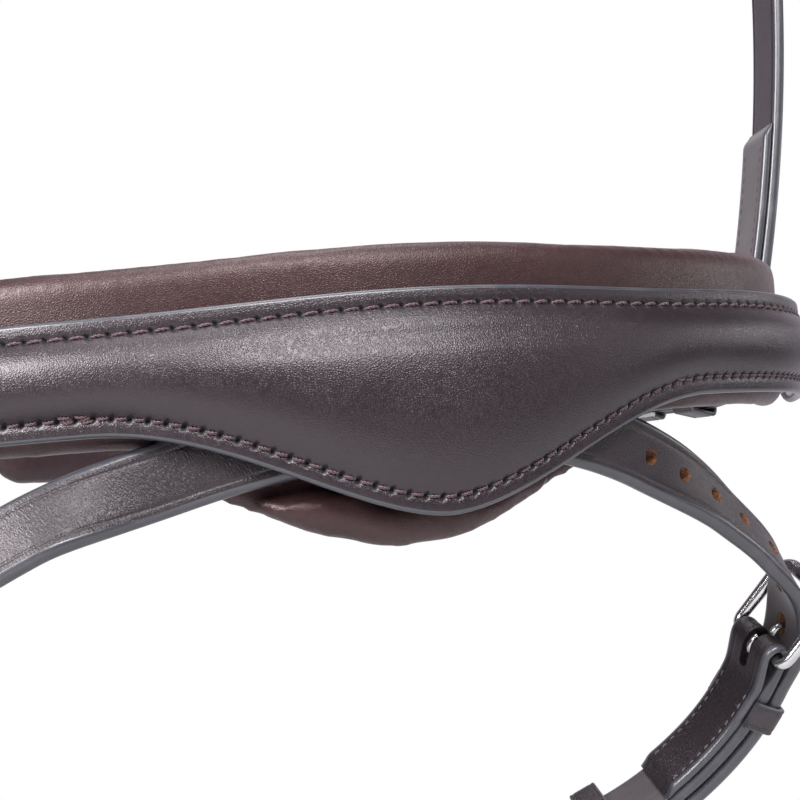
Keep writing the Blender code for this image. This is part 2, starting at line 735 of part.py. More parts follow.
def spread(half_length, columns, end_step, index):
    """Stations from -half_length to half_length, with a close one at each end."""
    if index == 0 or index == columns:
        return math.copysign(half_length, index - columns / 2.0)
    inner = half_length - end_step
    return -inner + 2.0 * inner * (index - 1) / (columns - 2)


def make_front_leather():
    """Raised outer leather: an open sheet over the crown, thickened inwards."""
    inside_shares = (0.0, 0.20, 0.44, 0.71, 1.0)
    row_count = 2 * len(inside_shares)

    def edge_factor(s):
        past = (abs(s) - FRONT_HALF_LENGTH + FRONT_END_ROUND) / FRONT_END_ROUND
        return 1.0 if past <= 0.0 else 1.0 - FRONT_END_NARROW_SHARE * past ** FRONT_END_POWER_SHARE

    def place(column, row):
        s = spread(FRONT_HALF_LENGTH, FRONT_COLUMN_COUNT, FRONT_END_ROUND / 4.0, column)
        high, low = top_seam(s), low_seam(s)
        middle = (high + low) / 2.0
        half = (high - low) / 2.0
        if row == 0:
            v = low - SEAM_MARGIN
        elif row == row_count:
            v = high + SEAM_MARGIN
        elif row <= len(inside_shares):
            v = low + half * inside_shares[row - 1]
        else:
            v = high - half * inside_shares[row_count - row - 1]
        factor = edge_factor(s)
        return RING.place(s, middle + (v - middle) * factor, crown(s, v) * factor)

    mesh = mapped_grid(FRONT_COLUMN_COUNT, row_count, place, "front_leather")
    obj = add_object("front_leather", mesh, DARK_LEATHER)
    shell = obj.modifiers.new("thickness", "SOLIDIFY")
    shell.thickness = FRONT_THICKNESS
    shell.offset = -1.0
    shell.use_even_offset = True
    return obj


def make_raised_filler():
    """Filler that fits under the crown of the leather."""
    shares = (0.0, 0.25, 0.5, 0.75, 1.0)
    flat_o = -FRONT_THICKNESS
    rings = []
    for column in range(FILLER_COLUMN_COUNT + 1):
        s = spread(FILLER_HALF_LENGTH, FILLER_COLUMN_COUNT, FILLER_INSET, column)
        high, low = top_seam(s) - FILLER_INSET, low_seam(s) + FILLER_INSET
        heights = [low + (high - low) * share for share in shares]
        ring = [RING.place(s, v, under_crown(s, v)) for v in heights]
        ring += [RING.place(s, v, flat_o) for v in reversed(heights)]
        rings.append(ring)
    return add_object("raised_filler", loft_mesh(rings, "raised_filler"), FILLER_FELT)


def make_front_backing():
    """Flat leather behind the filler, cut a little smaller than the front."""
    def place(column, row):
        s = spread(BACKING_HALF_LENGTH, BACKING_COLUMN_COUNT, BACKING_INSET, column)
        high = top_seam(s) + SEAM_MARGIN - BACKING_INSET
        low = low_seam(s) - SEAM_MARGIN + BACKING_INSET
        return RING.place(s, low + (high - low) * row / 2.0, BACKING_O)

    mesh = mapped_grid(BACKING_COLUMN_COUNT, 2, place, "front_backing")
    obj = add_object("front_backing", mesh, DARK_LEATHER)
    shell = obj.modifiers.new("thickness", "SOLIDIFY")
    shell.thickness = BACKING_THICKNESS
    shell.offset = -1.0
    shell.use_even_offset = True
    return obj


def lip_level(s):
    """Height below which the pad comes forward again, under the flash strap and its loop."""
    beside_loop = smooth(abs(s), LOOP_WIDTH / 2.0, LOOP_WIDTH)
    feet = (LOOP_FOOT + LOOP_THICKNESS) * (1.0 - beside_loop)
    return flash_level(s) - FLASH_WIDTH / 2.0 - PAD_LIP_CLEARANCE - feet


def channel_depth(s, v):
    """How far the pad's outer face steps back to let the flash strap and its loop pass."""
    along = 1.0 - smooth(abs(s), PAD_CHANNEL_HALF_LENGTH, PAD_CHANNEL_HALF_LENGTH + PAD_CHANNEL_RUNOUT)
    below = 1.0 - smooth(v, PAD_CHANNEL_TOP - PAD_CHANNEL_EASE, PAD_CHANNEL_TOP)
    above = smooth(v, lip_level(s) - PAD_LIP_EASE, lip_level(s))
    beside_loop = smooth(abs(s), LOOP_WIDTH / 2.0 + PAD_LIP_CLEARANCE, LOOP_WIDTH)
    depth = PAD_CHANNEL_DEPTH - (LOOP_THICKNESS + LOOP_CLEARANCE) * beside_loop
    return depth * along * below * above


def pad_section(s, inset):
    """Points round the lining's section at s, for its skin (inset 0) or for what lies inside it."""
    end_round = PAD_THICKNESS / 2.0
    past = min(max((abs(s) - PAD_HALF_LENGTH + end_round) / end_round, 0.0), PAD_END_FULLEST_SHARE)
    fullness = math.sqrt(1.0 - past * past)
    radius = end_round * fullness - inset
    middle_o = PAD_O - end_round
    high = top_seam(s) + SEAM_MARGIN + PAD_TOP_SHOW - end_round
    under_drop = 1.0 - smooth(abs(s), PAD_DROP_EXTRA_FROM, PAD_DROP_EXTRA_TO)
    edge = low_seam(s) - SEAM_MARGIN - PAD_LOW_SHOW - PAD_DROP_EXTRA_SHOW * under_drop
    recess = channel_depth(s, edge + end_round / 2.0)
    low = edge + end_round - recess / 2.0
    low_radius = radius - recess / 2.0
    low_o = middle_o - recess / 2.0
    points = []

    lip_high = min(max(lip_level(s), low + 2.0 * PAD_STEP), PAD_CHANNEL_TOP - PAD_CHANNEL_EASE - PAD_STEP)
    lip_low = max(lip_high - PAD_LIP_EASE, low + PAD_STEP)
    wall_low = PAD_CHANNEL_TOP - PAD_CHANNEL_EASE
    fronts = (lip_low, lip_high, (lip_high + wall_low) / 2.0, wall_low, PAD_CHANNEL_TOP,
              (PAD_CHANNEL_TOP + high) / 2.0, high)
    for v in fronts:
        depth = max(channel_depth(s, v), recess) if v <= wall_low else 0.0
        points.append((v, middle_o + radius - depth))
    for step in range(1, ARC_STEP_COUNT):
        angle = math.radians(90.0 - 180.0 * step / ARC_STEP_COUNT)
        points.append((high + radius * math.cos(angle), middle_o + radius * math.sin(angle)))
    for step in range(4):
        share = step / 3.0
        bulge = PAD_BACK_CROWN * 4.0 * share * (1.0 - share)
        points.append((high + (low - high) * share, middle_o - radius - bulge))
    for step in range(1, ARC_STEP_COUNT):
        angle = math.radians(-90.0 - 180.0 * step / ARC_STEP_COUNT)
        points.append((low + low_radius * math.cos(angle), low_o + low_radius * math.sin(angle)))
    points.append((low, low_o + low_radius))
    return [RING.place(s, v, o) for v, o in points]


def make_nose_pad():
    """Foam of the lining and the soft leather round it, which is open behind the backing."""
    end_round = PAD_THICKNESS / 2.0
    straight = PAD_HALF_LENGTH - end_round
    column_step = 2.0 * straight / PAD_COLUMN_COUNT

    def rings(inset, trim):
        side = straight - trim
        stations = [column_step * (column - PAD_COLUMN_COUNT / 2.0) for column in range(1, PAD_COLUMN_COUNT)]
        return [pad_section(s, inset) for s in [-side] + stations + [side]]

    foam_inset = PAD_SKIN + 2.0 * SEAT_GAP
    foam = add_object("nose_pad_foam", loft_mesh(rings(foam_inset, 2.0 * SEAT_GAP), "nose_pad_foam"), FOAM)
    hollow = loft_mesh(rings(PAD_SKIN, 0.0), "hollow")
    ends = [straight + end_round * share for share in PAD_END_SHARES]
    skin_rings = [pad_section(-s, 0.0) for s in reversed(ends)] + rings(0.0, 0.0)
    skin_rings += [pad_section(s, 0.0) for s in ends]

    slit_columns = PAD_COLUMN_COUNT - PAD_SLIT_SHORTER_COUNT

    def slit_place(column, row):
        s = column_step * (column - slit_columns / 2.0)
        v = PAD_SLIT_LOW if row == 0 else PAD_SLIT_TOP
        return RING.place(s, v, PAD_O + PAD_SKIN)

    slit = mapped_grid(slit_columns, 1, slit_place, "slit")
    slit_obj = bpy.data.objects.new("slit", slit)
    bpy.context.scene.collection.objects.link(slit_obj)
    depth = slit_obj.modifiers.new("depth", "SOLIDIFY")
    depth.thickness = 3.0 * PAD_SKIN
    depth.offset = -1.0
    graph = bpy.context.evaluated_depsgraph_get()
    slit_mesh = bpy.data.meshes.new_from_object(slit_obj.evaluated_get(graph))
    bpy.data.objects.remove(slit_obj)
    cover_mesh = cut_mesh(loft_mesh(skin_rings, "nose_pad_cover"), [hollow, slit_mesh])
    cover = add_object("nose_pad_cover", cover_mesh, LINING_LEATHER)
    return foam, cover


def make_flash_loop():
    """Leather loop behind the drop, sewn to the backing above and below the flash strap."""
    inner_half = FLASH_WIDTH / 2.0 + LOOP_CLEARANCE
    middle_v = flash_level(0.0)
    near_o = BACKING_INNER_O - SEAT_GAP
    far_o = near_o - FLASH_THICKNESS - LOOP_CLEARANCE
    wall = LOOP_THICKNESS
    outer_half = inner_half + wall
    foot_half = outer_half + LOOP_FOOT
    outline = [(foot_half, near_o), (inner_half, near_o), (inner_half, far_o), (-inner_half, far_o),
               (-inner_half, near_o), (-foot_half, near_o), (-foot_half, near_o - wall), (-outer_half, near_o - wall),
               (-outer_half, far_o - wall), (outer_half, far_o - wall), (outer_half, near_o - wall),
               (foot_half, near_o - wall)]
    steps = 4
    rings = []
    for step in range(steps + 1):
        s = LOOP_WIDTH * (step / steps - 0.5)
        rings.append([RING.place(s, middle_v + v, o) for v, o in outline])
    return add_object("flash_loop", loft_mesh(rings, "flash_loop"), DARK_LEATHER, smooth_angle=30.0)


def billet_height(thickness):
    """Height of the billet's middle over the folded strap's middle."""
    return thickness + SEAT_GAP


def nose_billet_offset(s):
    """Chin strap's offset: outside the chape up to the bar, then down to the chape's own level."""
    over = NOSE_STRAP_CENTRE_O + billet_height(NOSE_STRAP_THICKNESS)
    table = ((NOSE_BAR_AT - BILLET_SETTLE, over), (NOSE_BAR_AT, over + BILLET_RISE),
             (NOSE_BAR_AT + NOSE_BILLET_RUNOUT, NOSE_STRAP_CENTRE_O))
    return blend(max(s, table[0][0]), table)


def make_near_chape():
    """Near-side strap from under the end of the front to its fold round the buckle's bar."""
    fold = fold_outline(NOSE_BAR_AT, -1, NOSE_STRAP_THICKNESS, NOSE_TURNBACK_LENGTH)
    half = NOSE_STRAP_THICKNESS / 2.0
    outline = [(NEAR_CHAPE_START, -half), (NEAR_CHAPE_START, half)] + fold
    mesh = strap_slab(outline, NOSE_STRAP_WIDTH, "near_chape")
    mesh = cut_mesh(mesh, fold_cutters(NOSE_BAR_AT, -1, NOSE_STRAP_THICKNESS, NOSE_STRAP_WIDTH))
    mesh = lay_on(mesh, RING, lambda s: NOSE_STRAP_CENTRE_O, full_width, "near_chape", NOSE_BAR_AT)
    return add_object("near_chape", mesh, STRAP_LEATHER)


def make_chin_strap():
    """Off-side strap round the chin, through the buckle and on to its point."""
    tip = NOSE_BAR_AT - NOSE_TAIL_LENGTH
    end = RING.length - NEAR_CHAPE_START
    half = NOSE_STRAP_THICKNESS / 2.0
    outline = [(tip, -half), (tip, half), (end, half), (end, -half)]
    mesh = strap_slab(outline, NOSE_STRAP_WIDTH, "chin_strap")
    cutters = hole_cutters(NOSE_BAR_AT, -1, NOSE_HOLE_PITCH, NOSE_HOLES_AHEAD_COUNT, NOSE_HOLES_BEHIND_COUNT,
                           NOSE_STRAP_THICKNESS)
    mesh = cut_mesh(mesh, cutters)
    mesh = lay_on(mesh, RING, nose_billet_offset, pointed(tip, -1), "chin_strap", NOSE_BAR_AT)
    return add_object("chin_strap", mesh, STRAP_LEATHER)


def chin_section(distance, inset):
    """Points round the chin pad's section at a distance from its middle."""
    end_round = CHIN_PAD_THICKNESS / 2.0
    past = (abs(distance) - CHIN_PAD_LENGTH / 2.0 + CHIN_PAD_END_ROUND) / CHIN_PAD_END_ROUND
    past = min(max(past, 0.0), PAD_END_FULLEST_SHARE)
    fullness = math.sqrt(1.0 - past * past)
    thickness_share = CHIN_PAD_END_THICKNESS_SHARE + (1.0 - CHIN_PAD_END_THICKNESS_SHARE) * fullness
    width_share = CHIN_PAD_END_WIDTH_SHARE + (1.0 - CHIN_PAD_END_WIDTH_SHARE) * fullness
    radius = end_round * thickness_share - inset
    middle_o = NOSE_STRAP_CENTRE_O - NOSE_STRAP_THICKNESS / 2.0 - SEAT_GAP - end_round
    half = CHIN_PAD_WIDTH / 2.0 * width_share - end_round
    s = RING.length / 2.0 + distance
    points = []
    for step in range(ARC_STEP_COUNT + 1):
        angle = math.radians(90.0 - 180.0 * step / ARC_STEP_COUNT)
        points.append((half + radius * math.cos(angle), middle_o + radius * math.sin(angle)))
    points.append((0.0, middle_o - radius - PAD_BACK_CROWN))
    for step in range(ARC_STEP_COUNT + 1):
        angle = math.radians(-90.0 - 180.0 * step / ARC_STEP_COUNT)
        points.append((-half + radius * math.cos(angle), middle_o + radius * math.sin(angle)))
    return [RING.place(s, v, o) for v, o in points]


def make_chin_pad():
    """Foam at the chin and its soft leather cover, which is open where the chin strap is sewn to it."""
    half = CHIN_PAD_LENGTH / 2.0
    end_step = CHIN_PAD_END_ROUND / 5.0

    def rings(inset, trim):
        return [chin_section(spread(half - trim, CHIN_COLUMN_COUNT, end_step, column), inset)
                for column in range(CHIN_COLUMN_COUNT + 1)]

    foam_mesh = loft_mesh(rings(PAD_SKIN + SEAT_GAP, PAD_SKIN + 2.0 * SEAT_GAP), "chin_pad_foam")
    foam = add_object("chin_pad_foam", foam_mesh, FOAM)
    hollow = loft_mesh(rings(PAD_SKIN, PAD_SKIN + SEAT_GAP), "hollow")
    outer_o = NOSE_STRAP_CENTRE_O - NOSE_STRAP_THICKNESS / 2.0 - SEAT_GAP
    slit_rings = []
    slit_columns = CHIN_COLUMN_COUNT + 1
    for column in range(slit_columns + 1):
        s = RING.length / 2.0 + CHIN_PAD_SLIT_HALF_LENGTH * (2.0 * column / slit_columns - 1.0)
        corners = ((1, 1), (1, -1), (-1, -1), (-1, 1))
        slit_rings.append([RING.place(s, CHIN_PAD_SLIT_WIDTH / 2.0 * a, outer_o + 1.5 * PAD_SKIN * b)
                           for a, b in corners])
    slit = loft_mesh(slit_rings, "slit")
    cover_mesh = cut_mesh(loft_mesh(rings(0.0, 0.0), "chin_pad_cover"), [hollow, slit])
    cover = add_object("chin_pad_cover", cover_mesh, LINING_LEATHER)
    return foam, cover


def flash_offset(s):
    """Flash strap's offset along its whole length, from the fold round the bar to the free point."""
    fold_s = FLASH_BAR_AT - FLASH.length
    chape = FLASH_BAR_INSIDE + FLASH_THICKNESS / 2.0
    over = chape + billet_height(FLASH_THICKNESS)
    table = ((fold_s, chape), (fold_s + FLASH_TURNBACK_LENGTH, chape),
             (fold_s + FLASH_TURNBACK_LENGTH + FLASH_BACK_RUNOUT, 0.0), (FLASH_BAR_AT - FLASH_BILLET_RUNOUT, 0.0),
             (FLASH_BAR_AT, over + BILLET_RISE), (FLASH_BAR_AT + BILLET_SETTLE, over))
    return blend(max(s, fold_s), table)


def make_flash_strap():
    """One strap: folded round the buckle's bar, round the chin, through the loop and the buckle, to its point."""
    fold_s = FLASH_BAR_AT - FLASH.length
    tip = FLASH_BAR_AT + FLASH_TAIL_LENGTH
    half = FLASH_THICKNESS / 2.0
    fold = fold_outline(fold_s, 1, FLASH_THICKNESS, FLASH_TURNBACK_LENGTH)
    outline = fold + [(tip, -half), (tip, half)]
    mesh = strap_slab(outline, FLASH_WIDTH, "flash_strap")
    cutters = fold_cutters(fold_s, 1, FLASH_THICKNESS, FLASH_WIDTH)
    cutters += hole_cutters(FLASH_BAR_AT, 1, FLASH_HOLE_PITCH, FLASH_HOLES_AHEAD_COUNT, FLASH_HOLES_BEHIND_COUNT,
                            FLASH_THICKNESS)
    mesh = cut_mesh(mesh, cutters)
    mesh = lay_on(mesh, FLASH, flash_offset, pointed(tip, 1), "flash_strap", FLASH_BAR_AT)
    return add_object("flash_strap", mesh, STRAP_LEATHER)


def make_near_hanger():
    """Near side of the headpiece: doubled where it is sewn to the noseband, folded round a bar at its top."""
    half = SLIP_THICKNESS / 2.0
    fold = fold_outline(SLIP_BAR_AT, -1, SLIP_THICKNESS, SLIP_TURNBACK_LENGTH)
    inner = -half - TURNBACK_THICKNESS
    foot = [(HANGER_TURNBACK, -half), (HANGER_TURNBACK, -half - TURNBACK_END_THICKNESS),
            (HANGER_TURNBACK - TURNBACK_SKIVE, inner), (0.0, inner), (0.0, half)]
    mesh = strap_slab(fold + foot, SLIP_WIDTH, "near_hanger")
    mesh = cut_mesh(mesh, fold_cutters(SLIP_BAR_AT, -1, SLIP_THICKNESS, SLIP_WIDTH))
    mesh = lay_on(mesh, SLIP, lambda s: 0.0, full_width, "near_hanger", SLIP_BAR_AT, SLIP_BEND_STEP)
    return add_object("near_hanger", mesh, STRAP_LEATHER)


def slip_billet_offset(s):
    """Sliphead's offset: outside the hanger up to the bar, then down to the hanger's own level."""
    over = billet_height(SLIP_THICKNESS)
    table = ((SLIP_BAR_AT - BILLET_SETTLE, over), (SLIP_BAR_AT, over + BILLET_RISE),
             (SLIP_BAR_AT + SLIP_BILLET_RUNOUT, 0.0))
    return blend(max(s, table[0][0]), table)


def make_sliphead_strap():
    """Headpiece strap from its point below the near buckle, over the poll, to its doubled off-side end."""
    tip = SLIP_BAR_AT - SLIP_TAIL_LENGTH
    end = SLIP.length
    half = SLIP_THICKNESS / 2.0
    inner = -half - TURNBACK_THICKNESS
    doubled = end - HANGER_TURNBACK
    outline = [(tip, half), (end, half), (end, inner), (doubled + TURNBACK_SKIVE, inner),
               (doubled, -half - TURNBACK_END_THICKNESS), (doubled, -half), (tip, -half)]
    mesh = strap_slab(outline, SLIP_WIDTH, "sliphead_strap")
    cutters = hole_cutters(SLIP_BAR_AT, -1, SLIP_HOLE_PITCH, SLIP_HOLES_AHEAD_COUNT, SLIP_HOLES_BEHIND_COUNT, SLIP_THICKNESS)
    mesh = cut_mesh(mesh, cutters)
    mesh = lay_on(mesh, SLIP, slip_billet_offset, pointed(tip, -1), "sliphead_strap", SLIP_BAR_AT,
                  SLIP_BEND_STEP)
    return add_object("sliphead_strap", mesh, STRAP_LEATHER)


class BuckleSeat:
    """Where a buckle sits: its bar in the fold, and the billet that passes through it."""

    def __init__(self, route, bar_s, direction, bar_o, billet_o, strap_width, thickness, frame_length):
        self.frame = route.frame(bar_s, bar_o, direction)
        self.strap_width = strap_width
        self.frame_length = frame_length
        self.thickness = thickness
        self.front_radius = BAR_RADIUS * FRAME_FRONT_SWELL_SHARE
        slope = 0.0
        for step in range(5):
            x = frame_length - FRAME_CORNER_RADIUS * step / 4.0
            s = bar_s - direction * x
            for v in (-strap_width / 2.0, 0.0, strap_width / 2.0):
                billet = self.frame.inverted() @ route.place(s, v, billet_o(s))
                need = billet.z + thickness / 2.0 + FRAME_LIFT_CLEARANCE + self.front_radius
                slope = max(slope, need / -billet.x)
        self.front_height = slope * frame_length


def frame_path(seat):
    """Points and radii round the buckle's D-shaped frame, from its heel bar at the origin."""
    half = seat.strap_width / 2.0 + FRAME_SIDE_CLEARANCE + BAR_RADIUS
    length = seat.frame_length
    corners = ((0.0, -half, FRAME_HEEL_RADIUS), (-length, -half, FRAME_CORNER_RADIUS),
               (-length, half, FRAME_CORNER_RADIUS), (0.0, half, FRAME_HEEL_RADIUS))
    starts = (0.0, -90.0, -180.0, -270.0)
    path = []
    for (x, y, radius), start in zip(corners, starts):
        centre_x = x - radius if x == 0.0 else x + radius
        centre_y = y + radius if y < 0.0 else y - radius
        for step in range(FRAME_ARC_STEP_COUNT + 1):
            angle = math.radians(start - 90.0 * step / FRAME_ARC_STEP_COUNT)
            path.append((centre_x + radius * math.cos(angle), centre_y + radius * math.sin(angle)))
    slope = seat.front_height / length
    points, radii = [], []
    for x, y in path:
        points.append(Vector((x, y, -x * slope)))
        radii.append(1.0 + (FRAME_FRONT_SWELL_SHARE - 1.0) * smooth(-x, 0.0, length))
    return points, radii


def tube_mesh(points, radii, radius, closed, name, bevel_resolution=2):
    """Round bar along points, whose radius is scaled at each one."""
    curve = bpy.data.curves.new(name, "CURVE")
    curve.dimensions = "3D"
    curve.bevel_depth = radius
    curve.bevel_resolution = bevel_resolution
    curve.use_fill_caps = not closed
    spline = curve.splines.new("POLY")
    spline.points.add(len(points) - 1)
    for target, point, scale in zip(spline.points, points, radii):
        target.co = (*point, 1.0)
        target.radius = scale
    spline.use_cyclic_u = closed
    return curve_to_mesh(curve, name)


def make_buckle_frame(name, seat):
    """Frame of a buckle, with its origin on the heel bar."""
    points, radii = frame_path(seat)
    mesh = tube_mesh(points, radii, BAR_RADIUS, True, name)
    obj = add_object(name, mesh, NICKEL)
    obj.matrix_world = seat.frame
    return obj


def make_buckle_tongue(name, seat):
    """Tongue of a buckle: coiled round the bar, cranked up through the strap and laid on the frame's front."""
    coil = BAR_RADIUS + TONGUE_CLEARANCE + TONGUE_RADIUS
    path = [Vector((coil * math.cos(math.radians(a)), 0.0, coil * math.sin(math.radians(a))))
            for a in range(TONGUE_COIL_DEGREES[0], TONGUE_COIL_DEGREES[1] + 1, TONGUE_COIL_DEGREES[2])]
    rest_height = seat.front_height + seat.front_radius + TONGUE_CLEARANCE + TONGUE_RADIUS
    crest = max(rest_height, seat.thickness * 2.0 + BILLET_RISE + TONGUE_RADIUS + 3.0 * SEAT_GAP + BAR_RADIUS)
    path += [Vector((-x * TONGUE_CRANK, 0.0, z * coil)) for x, z in TONGUE_RISE_SHARES]
    path += [Vector((-x * TONGUE_CRANK, 0.0, z * crest)) for x, z in TONGUE_CREST_SHARES]
    path += [Vector((-seat.frame_length, 0.0, rest_height)),
             Vector((-seat.frame_length - TONGUE_OVERHANG, 0.0, rest_height - TONGUE_RADIUS / 3.0))]
    radii = [1.0] * (len(path) - 1) + [TONGUE_TIP_SHARE]
    mesh = tube_mesh(path, radii, TONGUE_RADIUS, False, name)
    obj = add_object(name, mesh, NICKEL)
    obj.matrix_world = seat.frame
    return obj


def corner_points(half_v, half_o, grow, side_v, side_o):
    """Points round one corner of a keeper's section, grown outwards from the space that it holds."""
    corner = KEEPER_CLEARANCE + grow
    start = {(1, 1): 0.0, (-1, 1): 90.0, (-1, -1): 180.0, (1, -1): 270.0}[side_v, side_o]
    centre_v = side_v * (half_v + grow - corner)
    centre_o = side_o * (half_o + grow - corner)
    return circle_points(centre_v, centre_o, corner, start, start + 90.0, KEEPER_CORNER_STEP_COUNT)


def make_sliding_keeper(name, route, s, fold_o, strap_width, thickness):
    """Leather loop round a fold and the billet on it, with its origin in the middle of the straps."""
    low_o = fold_o - thickness / 2.0 - TURNBACK_THICKNESS
    high_o = fold_o + billet_height(thickness) + thickness / 2.0
    half_o = (high_o - low_o) / 2.0 + KEEPER_CLEARANCE
    half_v = strap_width / 2.0 + KEEPER_CLEARANCE
    corners = ((1, 1), (-1, 1), (-1, -1), (1, -1))
    loops = [[point for sides in corners for point in corner_points(half_v, half_o, grow, *sides)]
             for grow in (KEEPER_THICKNESS, 0.0)]
    return add_keeper(name, loops, keeper_axes(route, s, (high_o + low_o) / 2.0))


def make_fixed_keeper(name, route, s, fold_o, strap_width, thickness):
    """Leather arch over the billet, whose ends are sewn in at the edges of the fold, between its two layers."""
    low_o = fold_o - thickness / 2.0
    high_o = fold_o + billet_height(thickness) + thickness / 2.0
    half_o = (high_o - low_o) / 2.0 + KEEPER_CLEARANCE
    half_v = strap_width / 2.0 + KEEPER_CLEARANCE
    foot_o = -(high_o - low_o) / 2.0 - KEEPER_THICKNESS
    outline = []
    for grow, order in ((KEEPER_THICKNESS, 1), (0.0, -1)):
        arch = [(half_v + grow, foot_o)]
        arch += corner_points(half_v, half_o, grow, 1, 1) + corner_points(half_v, half_o, grow, -1, 1)
        arch.append((-half_v - grow, foot_o))
        outline += arch[::order]
    return add_keeper(name, [outline], keeper_axes(route, s, (high_o + low_o) / 2.0))


def keeper_axes(route, s, o):
    """Axes of a keeper at distance s: X along the strap, also where it climbs, and Z outwards."""
    axes = route.frame(s, o)
    z_axis = axes.col[2].to_3d()
    along = route.place(s + KEEPER_LENGTH / 2.0, 0.0, o) - route.place(s - KEEPER_LENGTH / 2.0, 0.0, o)
    x_axis = (along - z_axis * along.dot(z_axis)).normalized()
    climbing = Matrix((x_axis, z_axis.cross(x_axis), z_axis)).transposed().to_4x4()
    climbing.translation = axes.translation
    return climbing


def add_keeper(name, loops, axes):
    """Keeper whose section across the strap is drawn by loops."""
    mesh = outline_mesh(loops, KEEPER_LENGTH, name)
    mesh.transform(Matrix(((0, 0, 1, 0), (1, 0, 0, 0), (0, 1, 0, 0), (0, 0, 0, 1))))
    obj = add_object(name, mesh, STRAP_LEATHER)
    obj.matrix_world = axes
    return obj


def make_noseband_buckle():
    """Buckle and keepers of the chin closure."""
    bar_o = NOSE_STRAP_CENTRE_O - NOSE_STRAP_THICKNESS / 2.0
    seat = BuckleSeat(RING, NOSE_BAR_AT, -1, bar_o, nose_billet_offset, NOSE_STRAP_WIDTH, NOSE_STRAP_THICKNESS,
                      NOSE_FRAME_LENGTH)
    make_buckle_frame("noseband_buckle_frame", seat)
    make_buckle_tongue("noseband_buckle_tongue", seat)
    strap = (NOSE_STRAP_CENTRE_O, NOSE_STRAP_WIDTH, NOSE_STRAP_THICKNESS)
    make_fixed_keeper("noseband_fixed_keeper", RING, NOSE_BAR_AT - NOSE_FIXED_KEEPER_FROM_BAR, *strap)
    make_sliding_keeper("noseband_sliding_keeper", RING, NOSE_BAR_AT - NOSE_SLIDING_KEEPER_FROM_BAR, *strap)


def make_flash_buckle():
    """Buckle and keepers of the flash strap."""
    fold_o = FLASH_BAR_INSIDE + FLASH_THICKNESS / 2.0
    seat = BuckleSeat(FLASH, FLASH_BAR_AT, 1, FLASH_BAR_INSIDE, flash_offset, FLASH_WIDTH, FLASH_THICKNESS,
                      FLASH_FRAME_LENGTH)
    make_buckle_frame("flash_buckle_frame", seat)
    make_buckle_tongue("flash_buckle_tongue", seat)
    strap = (fold_o, FLASH_WIDTH, FLASH_THICKNESS)
    make_fixed_keeper("flash_fixed_keeper", FLASH, FLASH_BAR_AT + FLASH_FIXED_KEEPER_FROM_BAR, *strap)
    make_sliding_keeper("flash_sliding_keeper", FLASH, FLASH_BAR_AT + FLASH_SLIDING_KEEPER_FROM_BAR, *strap)


def make_sliphead_buckle():
    """Buckle and keepers of the headpiece."""
    bar_o = -SLIP_THICKNESS / 2.0
    seat = BuckleSeat(SLIP, SLIP_BAR_AT, -1, bar_o, slip_billet_offset, SLIP_WIDTH, SLIP_THICKNESS,
                      SLIP_FRAME_LENGTH)
    make_buckle_frame("sliphead_buckle_frame", seat)
    make_buckle_tongue("sliphead_buckle_tongue", seat)
    strap = (0.0, SLIP_WIDTH, SLIP_THICKNESS)
    make_fixed_keeper("sliphead_fixed_keeper", SLIP, SLIP_BAR_AT - SLIP_FIXED_KEEPER_FROM_BAR, *strap)
    make_sliding_keeper("sliphead_sliding_keeper", SLIP, SLIP_BAR_AT - SLIP_SLIDING_KEEPER_FROM_BAR, *strap)


def hang_from_poll():
    """Move every part so that the inner face of the headpiece's crown touches the origin."""
    poll = Vector((0.0, POLL_SETBACK, POLL_HEIGHT - SLIP_THICKNESS / 2.0))
    for obj in collection_named(COLLECTION_NAME).objects:
        obj.matrix_world = Matrix.Translation(-poll) @ obj.matrix_world


def main():
    """Build the noseband in an empty scene."""
    for obj in list(bpy.data.objects):
        bpy.data.objects.remove(obj)
    make_front_leather()
    make_raised_filler()
    make_front_backing()
    make_nose_pad()
    make_flash_loop()
    make_near_chape()
    make_chin_strap()
    make_chin_pad()
    make_noseband_buckle()
    make_flash_strap()
    make_flash_buckle()
    make_near_hanger()
    make_sliphead_strap()
    make_sliphead_buckle()
    hang_from_poll()


main()
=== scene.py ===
"""Looks of a flash noseband: its leathers, padding, threads and buckles, dressed over the parts that carry them.

Metres, +Z up. Places are worked out about the middle of the front, with +X towards the horse's near side and the
front facing -Y, and every piece is then hung from the poll, as the noseband is. Straps are drawn flat, as a saddler
cuts them: s runs along a strap, v across it and o outwards.
"""

from __future__ import annotations

import logging
import math
import random
from bisect import bisect_right
from dataclasses import dataclass, field
from enum import Enum
from typing import Callable, Iterable, Sequence

import bmesh
import bpy
import numpy as np
from mathutils import Matrix, Vector, noise


